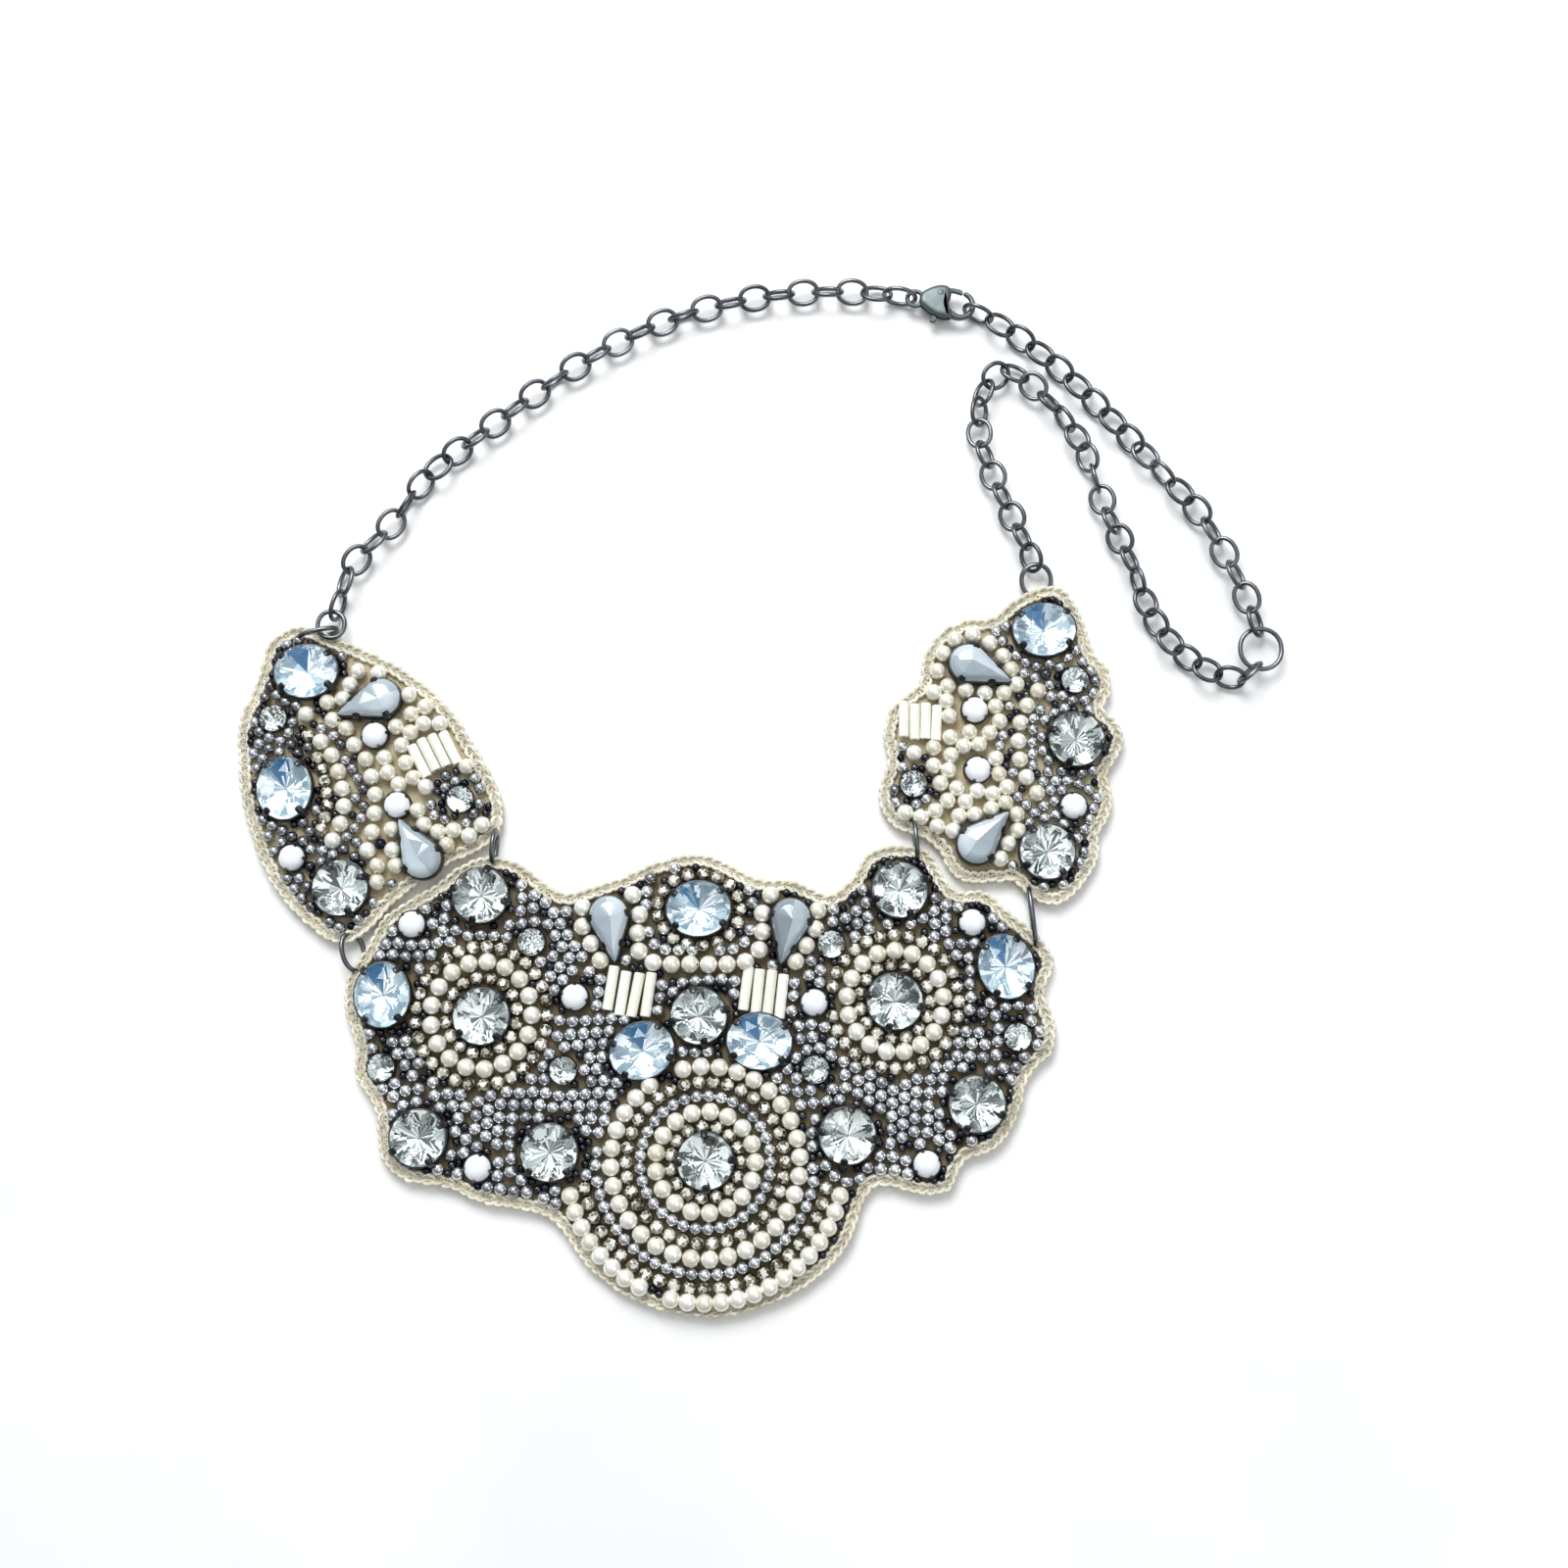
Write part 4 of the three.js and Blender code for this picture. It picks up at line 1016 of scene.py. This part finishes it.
class Layout:
    """Places of a panel's beads, and a fine grid of how much room is left."""

    STEP = 0.2
    EDGE_CELLS = 36  # how far from the border its distance is worked out
    REACH = 6  # how far past a bead the room left is worked out
    FAR = 99.0

    def __init__(self, side):
        self.radius = SIDE_BEADS if side in PEARL_EDGE else BEADS
        self.beads = {kind: [] for kind in self.radius}
        border = borders[side]
        self.low = border.min(axis=0)
        count = ((border.max(axis=0) - self.low) / self.STEP).astype(int) + 1
        axes = [self.low[k] + self.STEP * np.arange(count[k]) for k in (0, 1)]
        self.x, self.y = np.meshgrid(*axes, indexing="ij")
        cells = np.column_stack([self.x.ravel(), self.y.ravel()])
        edge, self.near, self.second = (np.full(self.x.shape, self.FAR) for _ in range(3))
        for x, y in spaced(border, int(length_of(border, True) / 0.5), True):
            cut, far = self.around(x, y, self.EDGE_CELLS)
            edge[cut] = np.minimum(edge[cut], far)
        edge[~inside(cells, border).reshape(edge.shape)] = -self.FAR
        self.edge = edge - EDGING_WIDTH + 0.1
        for x, y, radius in obstacles_of(side):
            self.block(x, y, radius)

    def cell(self, x, y):
        return tuple(((np.array([x, y]) - self.low) / self.STEP).astype(int))

    def around(self, x, y, cells):
        """A square of the grid round (x, y), and how far from it each of its cells is."""
        cut = tuple(slice(max(k - cells, 0), max(k + cells, 0)) for k in self.cell(x, y))
        return cut, np.hypot(self.x[cut] - x, self.y[cut] - y)

    def block(self, x, y, radius):
        """Takes a circle's room away; near and second are the two nearest circles' distances."""
        cut, far = self.around(x, y, int((radius + self.REACH) / self.STEP))
        far = far - radius
        near = self.near[cut].copy()
        self.second[cut] = np.minimum(self.second[cut], np.maximum(near, far))
        self.near[cut] = np.minimum(near, far)

    def put(self, kind, x, y):
        self.beads[kind].append((x, y))
        self.block(x, y, self.radius[kind])

    def line(self, kind, points, slack, over_edge):
        """Beads along a line, apart from those that would sit in a stone or off the felt."""
        radius = self.radius[kind]
        kept = [(x, y) for x, y in points
                if self.near[self.cell(x, y)] > radius - slack
                and self.edge[self.cell(x, y)] > radius - over_edge]
        for x, y in kept:
            self.put(kind, x, y)

    def fill(self, kind, where=None):
        """Packs beads where they touch most of what is already there."""
        radius = self.radius[kind] - SQUEEZE[kind]
        allowed = self.edge >= radius
        if where is not None:
            allowed &= where(self.x, self.y)
        prefer = 0.03 * rng.random(self.x.shape)
        while True:
            snug = np.minimum(self.second, self.edge) + 0.5 * self.near + prefer
            cost = np.where(allowed & (self.near >= radius), snug, np.inf)
            best = np.unravel_index(int(np.argmin(cost)), cost.shape)
            if cost[best] == np.inf:
                return
            self.put(kind, self.x[best], self.y[best])


# How far a laid bead may overlap what is there, and stand past the felt's free area.
RING_GIVE, STRING_GIVE = (0.9, 1.5), (1.0, 1.0)
# How much smaller a bead counts as when it fills the room left.
SQUEEZE = {"pearl": 0.3, "seed": 0.1, "small": 0.2}


def layout_of(side):
    """A panel's beads: its rings, its strings, then fills of ever smaller beads."""
    layout = Layout(side)
    for kind, x, y, rx, ry, count, start, end in BEAD_RINGS[side]:
        angle = np.radians(np.linspace(start, end, count, endpoint=end - start < 360))
        points = np.column_stack([x + rx * np.cos(angle), y + ry * np.sin(angle)])
        layout.line(kind, points, *RING_GIVE)
    for kind, bends in STRINGS[side]:
        line = spline(bends)
        count = int(length_of(line) / (2 * layout.radius[kind] * 1.01)) + 1
        layout.line(kind, spaced(line, max(count, 2)), *STRING_GIVE)
    if side in PEARL_EDGE:
        edge = np.array(PEARL_EDGE[side])
        hand = PEARL_SIDE[side]

        def pearls(x, y):
            clear = hand * (x - np.interp(y, edge[:, 0], edge[:, 1])) > 0
            for stone_x, stone_y in SMALL_STONES[side][:CLEAR_COUNT[side]]:
                clear &= np.hypot(x - stone_x, y - stone_y) > SEEDS_ROUND_STONE
            return clear

        layout.fill("pearl", pearls)
        layout.fill("seed")
        # The near-black small beads fill the gaps, partly as painted shade.
        layout.fill("small", lambda x, y: ~pearls(x, y))
    else:
        layout.fill("seed")
        # The near-black small beads fill the gaps, partly as painted shade.
        layout.fill("small")
    return layout


# ---------------------------------------------------------------- beads


def bead(radius, hole, segments, levels, squash):
    """A bead with its hole along X: points, faces, looks (0 glaze, 1 hole), no shades."""
    start = math.asin(hole / radius)
    angles = np.linspace(start, math.pi - start, levels)
    profile = [(-radius * 0.35, hole * 0.2), (-radius * math.cos(start) * squash, hole * 0.92)]
    profile += [(-radius * math.cos(a) * squash, radius * math.sin(a)) for a in angles]
    profile += [(radius * math.cos(start) * squash, hole * 0.92), (radius * 0.35, hole * 0.2)]
    points, faces = stack([hoop(x, r, segments) for x, r in profile])
    # Hole faces are painted near-black as shade inside the hole.
    looks = [1] * segments * 2 + [0] * segments * (levels - 1) + [1] * segments * 2 + [1, 1]
    return points, facing_out(points, faces), looks, np.zeros(len(faces))


def chaton():
    """A tiny foiled stone in a four-petal cup: points, faces, looks (0 metal, 1 facets), shades."""
    loop = ellipse(CHATON_WIDTH, CHATON_WIDTH, 12)
    parts = Mesh()
    parts.put(*cup(loop, *CHATON_CUP))
    parts.put(*crown(ellipse(CHATON_WIDTH + 0.02, CHATON_WIDTH + 0.02, 10), *CHATON_CROWN), 1)
    normal = outward(loop)
    for i in (1, 4, 7, 10):
        foot, n = loop[i], normal[i]
        side = np.array([-n[1], n[0]])
        base = [foot + n * 0.2 - side * 0.26, foot + n * 0.2 + side * 0.26,
                foot - n * 0.02 + side * 0.26, foot - n * 0.02 - side * 0.26]
        tip = np.column_stack([np.array(base) * 0.72, [1.02, 1.02, 0.86, 0.86]])
        parts.put(*stack([at_height(base, -0.6), at_height(base, 0.55), tip]))
    looks = np.array(parts.looks)
    # Painted glints and dark reflections, facet by facet.
    shades = rng.choice(CHATON_SHADES, len(looks), p=CHATON_SHARES)
    return np.vstack(parts.points), parts.faces, looks, np.where(looks == 1, shades, 0)


def place_beads(mesh, kind, radius, places, middle, spread):
    """Beads on the felt at places, turned at random; middle and spread are their tones'."""
    n = len(places)
    turns = [rotation(*way) for way in zip(
        rng.uniform(0, 360, n), rng.normal(0, 14, n), rng.uniform(0, 360, n))]
    heights = FELT_TOP + radius + rng.normal(0, HEIGHT_SPREAD, n)
    mesh.copies(bead(radius, *BEAD_MESHES[kind]), turns,
                np.column_stack([np.array(places), heights]),
                np.clip(rng.normal(middle, spread, n), 0, 1))


def build_beads(side):
    layout = layout_of(side)
    radius = layout.radius
    pearls = Mesh()
    place_beads(pearls, "pearl", radius["pearl"], layout.beads["pearl"], PEARL_TONES[side],
                PEARL_TONE_SPREAD)
    pearls.write(f"pearls_{side}", [pearl_look, hole_shade_look], "beads", f"beading_{side}",
                 smooth=(0,))
    # The seed beads are written as two pieces, split by how far left they lie.
    halves = [np.array_split(np.array(sorted(layout.beads[kind])), 2)
              for kind in ("seed", "small")]
    for part in (0, 1):
        seeds = Mesh()
        place_beads(seeds, "seed", radius["seed"], halves[0][part], SEED_TONES[side],
                    SEED_TONE_SPREAD)
        place_beads(seeds, "small", radius["small"], halves[1][part], SMALL_TONE,
                    SMALL_TONE_SPREAD)
        seeds.write(f"seed_beads_{side}_{part + 1}", [seed_look, hole_shade_look], "beads",
                    smooth=(0,))
    n = len(layout.beads["chaton"])
    if n:
        heights = FELT_TOP + CHATON_LEVEL + rng.normal(0, HEIGHT_SPREAD, n)
        places = np.column_stack([np.array(layout.beads["chaton"]), heights])
        turns = [rotation(*way) for way in zip(
            rng.uniform(0, 360, n), rng.normal(0, 5, n), rng.normal(0, 5, n))]
        # Each chaton's brightness: how strongly its painted glints show.
        tones = rng.uniform(0.3, 0.95, n)
        chatons = Mesh()
        for cut in range(CHATON_CUTS):
            own = slice(cut, None, CHATON_CUTS)
            chatons.copies(chaton(), turns[own], places[own], tones[own])
        chatons.write(f"chatons_{side}", [cup_look, chaton_glint_look], "beads")
    build_small_stones(side)
    build_bugles(side)


def build_small_stones(side):
    mesh, glasses = Mesh(), Mesh()
    width = 2 * SMALL_STONE
    loop = ellipse(width, width, SMALL_SIDES)
    for i, (x, y) in enumerate(SMALL_STONES[side]):
        at = (x, y, 31.0 * i)
        white = i >= CLEAR_COUNT[side]
        add_setting(mesh, loop, at, SMALL_GIRDLE, SMALL_DEPTH, SMALL_WALL, SMALL_BEARINGS,
                    WHITE_REACH if white else SMALL_REACH, SMALL_CLAW, False, 2)
        if white:
            stone = stack([at_height(loop * share, z) for share, z in WHITE_DOME])
        else:
            stone = crown(ellipse(width, width, CROWN_SIDES), SMALL_GIRDLE - 0.04,
                          SMALL_GIRDLE + 0.1, SMALL_TABLE, 0.5)
        (mesh if white else glasses).put(*stone, 2 if white else 0, rng.uniform(0.4, 0.9), at)
    mesh.write(f"small_stones_{side}", [claw_look, clear_foil_look, white_look], "beads",
               smooth=(2,))
    obj = glasses.write(f"small_crystals_{side}", [clear_glass_look], "beads")
    obj.visible_shadow = False


def build_bugles(side):
    mesh = Mesh()
    for x, y, length, turn, apart in BUGLES[side]:
        half = length / 2
        # From deep in one end's hole, round the outside, to deep in the other's.
        profile = [(0.8 * half, 0.2), (half, BUGLE_HOLE), (half, 1.0), (half - 0.18, BUGLE_RADIUS)]
        profile = [(-end, r) for end, r in profile] + profile[::-1]
        for i in range(BUGLE_COUNT):
            shift = rng.normal(0, 0.35)
            points, faces = stack([hoop(end, r, BUGLE_SIDES) for end, r in profile])
            points = points @ rotation(turn=rng.normal(0, 1.1), pitch=rng.normal(0, 1)).T
            points += (shift, bugle_offset(i, apart), FELT_TOP + BUGLE_LEVEL)
            # The bugles' hole faces are painted near-black as shade inside the hole.
            hole = [1] * BUGLE_SIDES
            mesh.put(points, faces, hole + [0] * BUGLE_SIDES * 5 + hole + [1, 1],
                     rng.uniform(0.2, 1), (x, y, turn))
    mesh.write(f"bugle_beads_{side}", [bugle_look, hole_shade_look], "beads")


# ---------------------------------------------------------------- chain, rings and clasp


def wire_loop(length, width, wire, segments=36):
    """A closed wire ring, a little fuller than an ellipse."""
    x, y = squarish(full_turn(segments), 0.93)
    line = np.column_stack([x * length / 2, y * width / 2, np.zeros(segments)])
    return tube(line, wire / 2, 10, closed=True)


def joints(samples, spans):
    """Points along a route, each a straight span from the one before."""
    index, points = 0, [samples[0]]
    for span in spans:
        far = np.linalg.norm(samples[index:] - points[-1], axis=1) >= span
        index = index + int(np.argmax(far)) if far.any() else len(samples) - 1
        points.append(samples[index])
    return np.array(points)


def spans_of(runs, touch):
    """How far each link's middle is from the joint before it and from the one after."""
    clear = touch - SLACK
    return [(clear if i == 0 else touch, clear if i == count - 1 else touch)
            for _, count in runs for i in range(count)]


def link_places(route, runs):
    """Each link's middle and bearing, when the links just fill the route; and their reach."""
    samples = spaced(spline(route, steps=60), 12001)
    low, high = HALF_LINK
    for _ in range(24):
        touch = (low + high) / 2
        points = joints(samples, [a + b for a, b in spans_of(runs, touch)])
        if np.linalg.norm(points[-1] - samples[-1]) > CLOSE:
            low = touch
        else:
            high = touch
    spans = spans_of(runs, low)
    points = joints(samples, [a + b for a, b in spans])
    along = np.diff(points, axis=0)
    along /= np.linalg.norm(along, axis=1, keepdims=True)
    middles = points[:-1] + along * np.array([a for a, _ in spans])[:, None]
    return middles, np.degrees(np.arctan2(along[:, 1], along[:, 0])), low


def build_chain():
    for route, runs in RUNS.items():
        middles, bearings, touch = link_places(ROUTES[route], runs)
        points, faces = wire_loop(2 * (touch + BITE), LINK_WIDTH, CHAIN_WIRE)
        first = 0
        for name, count in runs:
            mesh = Mesh()
            for link in range(first, first + count):
                roll = LIES[ROLLS[route][link]] * (-1 if link % 2 else 1)
                turn = rotation(turn=bearings[link], roll=roll)
                place = (*middles[link], CHAIN_LEVEL)
                mesh.put(points @ turn.T + place, faces, 0, rng.uniform(0.2, 0.9))
            first += count
            mesh.write(f"links_{name}", [gunmetal_look], "chain", name, smooth=(0,))


def build_ring(name, x, y, z, length, width, turn, pitch, roll):
    mesh = Mesh()
    points, faces = wire_loop(length, width, RING_WIRE, 40)
    mesh.put(points @ rotation(turn, pitch, roll).T + (x, y, z), faces, 0, 0.75)
    mesh.write(f"wire_{name}", [gunmetal_look], "chain", name, smooth=(0,))


CLASP = (45.2, 109.6, -9)  # middle and turn
PIVOT = (-4.8, 1.8)
CLASP_BODY = [
    [-9.2, 1.1], [-7.2, 2.9], [-4.8, 3.9], [-3, 3.6], [-2.3, 2], [-2.6, 0],
    [-2.1, -1.6], [-1.5, -3.2], [-3.2, -3.9], [-6, -3.3], [-8, -2.1], [-9.2, -1.1],
]
LEVER = [
    [-5.2, 3.1], [-2.4, 3.75], [0.1, 3.45], [0.3, 2.6], [-2.2, 2.75], [-3.7, 1.6],
    [-4.4, 0.6], [-4.9, -3.4], [-5, -4.9], [-5.9, -5.2], [-6.3, -4.9], [-5.9, -3.4],
    [-5.5, 0.6], [-6.1, 1.9],
]
# The lever is painted darker than the shell: painted shade standing for the lever's dark side.
SHELL_TONE, LEVER_SHADE_TONE = 0.75, 0.25
TAIL_LINK, TAIL_ROLL = (7.2, 4.8), 68
TAIL_RING = dict(x=-10.4, width=3.6, wire=1.05)
HOOK = dict(radius=3.0, start=-128, end=80, points=30)
HOOK_WIRE = ([0, 0.25, 0.96, 1], [0.95, 0.72, 0.6, 0.35])  # its radius along the hook
# Rounded plates as (z, inset): the shell's upper half, what joins its halves, the pin, the lever.
SHELL = ((0.72, 0.12), (0.8, 0), (1.05, 0.04), (1.35, 0.3), (1.52, 0.75), (1.6, 1.3))
SPACER = ((-0.9, 0.1), (0.9, 0.1))
PIN = ((-1.66, 0.2), (-1.6, 0), (1.6, 0), (1.66, 0.2))
BLADE = ((-0.5, 0.14), (-0.4, 0.03), (0.4, 0.03), (0.5, 0.14))


def plate(loop, levels):
    """A rounded plate: levels of (z, inset)."""
    loop = anticlockwise(loop)
    normal = outward(loop)
    return stack([at_height(loop - normal * inset, z) for z, inset in levels])


def disc(x, y, radius):
    return ellipse(2 * radius, 2 * radius, 24) + (x, y)


def build_clasp():
    body, lever = Mesh(), Mesh()

    def fit(mesh, points, faces, tone):
        mesh.put(points + (0, 0, CHAIN_LEVEL), faces, 0, tone, CLASP)

    shell = outline(CLASP_BODY, 72)
    for loop, levels, tone in (
        (shell, SHELL, SHELL_TONE),
        (shell, [(-z, inset) for z, inset in SHELL[::-1]], SHELL_TONE),
        (disc(-2.7, -2.3, 1.15), SPACER, 0.6),
        (disc(-8.4, 0, 0.95), SPACER, 0.6),
        (disc(*PIVOT, 0.6), PIN, 0.9),
    ):
        fit(body, *plate(loop, levels), tone)
    angle = np.radians(np.linspace(HOOK["start"], HOOK["end"], HOOK["points"]))
    line = at_height(HOOK["radius"] * np.column_stack([np.cos(angle), np.sin(angle)]), 0)
    wire = np.interp(np.linspace(0, 1, HOOK["points"]), *HOOK_WIRE)
    fit(body, *tube(line, wire, 12), SHELL_TONE)
    points, faces = wire_loop(TAIL_RING["width"], TAIL_RING["width"], TAIL_RING["wire"], 28)
    fit(body, points + (TAIL_RING["x"], 0, 0), faces, SHELL_TONE)
    body.write("clasp_shell", [clasp_look], "clasp", "clasp_body", smooth=(0,))
    fit(lever, *plate(outline(LEVER, 80), BLADE), LEVER_SHADE_TONE)
    lever.write("clasp_gate_lever", [clasp_look], "clasp", "clasp_lever", body=LEVER_BODY)
    reach = TAIL_RING["x"] - TAIL_LINK[0] / 2
    x, y, turn = CLASP
    build_ring("clasp_link", x + reach * math.cos(math.radians(turn)),
               y + reach * math.sin(math.radians(turn)), CHAIN_LEVEL, *TAIL_LINK, turn, 0,
               TAIL_ROLL)


# ---------------------------------------------------------------- the whole scene

for side in OUTLINES:
    build_felt(side)
    build_edging(side)
build_stones()
for side in OUTLINES:
    build_beads(side)
build_chain()
for ring_name, ring in RINGS.items():
    build_ring(ring_name, *ring)
build_clasp()

bpy.ops.mesh.primitive_plane_add(size=6)
floor = bpy.context.active_object
floor.name = "floor"
floor.data.materials.append(table_top())


def area_light(name, location, size, power, colour=(1, 1, 1)):
    data = bpy.data.lights.new(name, "AREA")
    data.shape = "DISK"
    data.size, data.energy, data.color = size, power, colour
    light = bpy.data.objects.new(name, data)
    light.location = location
    aim = -np.array(location)
    light.rotation_euler = (
        math.acos(-aim[2] / np.linalg.norm(aim)), 0, math.atan2(aim[1], aim[0]) - math.pi / 2)
    bpy.context.scene.collection.objects.link(light)


area_light("key", (-0.15, 0.55, 0.76), 0.55, 7.3, (0.96, 0.995, 1))
area_light("fill", (0.6, -0.35, 0.8), 0.9, 2.0, (0.96, 0.98, 1))

world = bpy.data.worlds.new("studio")
bpy.context.scene.world = world
world.use_nodes = True
nodes, links = world.node_tree.nodes, world.node_tree.links
place = nodes.new("ShaderNodeTexCoord")
tilt = nodes.new("ShaderNodeVectorMath")
tilt.operation = "DOT_PRODUCT"
tilt.inputs[1].default_value = (-0.15, 0.57, 0.81)  # the sky is brightest this way
sky = ramp(world.node_tree, [(0.0, grey(0.24)), (0.3, grey(0.24)), (0.58, grey(0.42)),
                             (0.78, grey(1.0)), (1.0, grey(1.1))])
links.new(place.outputs["Generated"], tilt.inputs[0])
links.new(tilt.outputs["Value"], sky.inputs["Fac"])
links.new(sky.outputs["Color"], nodes["Background"].inputs["Color"])
nodes["Background"].inputs["Strength"].default_value = 0.86

ELEVATION, DISTANCE = math.radians(80), 0.42
TARGET = (0.0047, -0.0018, 0.0)
camera_data = bpy.data.cameras.new("camera")
camera_data.lens, camera_data.sensor_width = 43.47, 36  # mm
camera = bpy.data.objects.new("camera", camera_data)
camera.location = (TARGET[0], TARGET[1] - DISTANCE * math.cos(ELEVATION),
                   DISTANCE * math.sin(ELEVATION))
camera.rotation_euler = (math.pi / 2 - ELEVATION, 0, 0)
bpy.context.scene.collection.objects.link(camera)
bpy.context.scene.camera = camera
bpy.context.scene.view_settings.view_transform = "Standard"
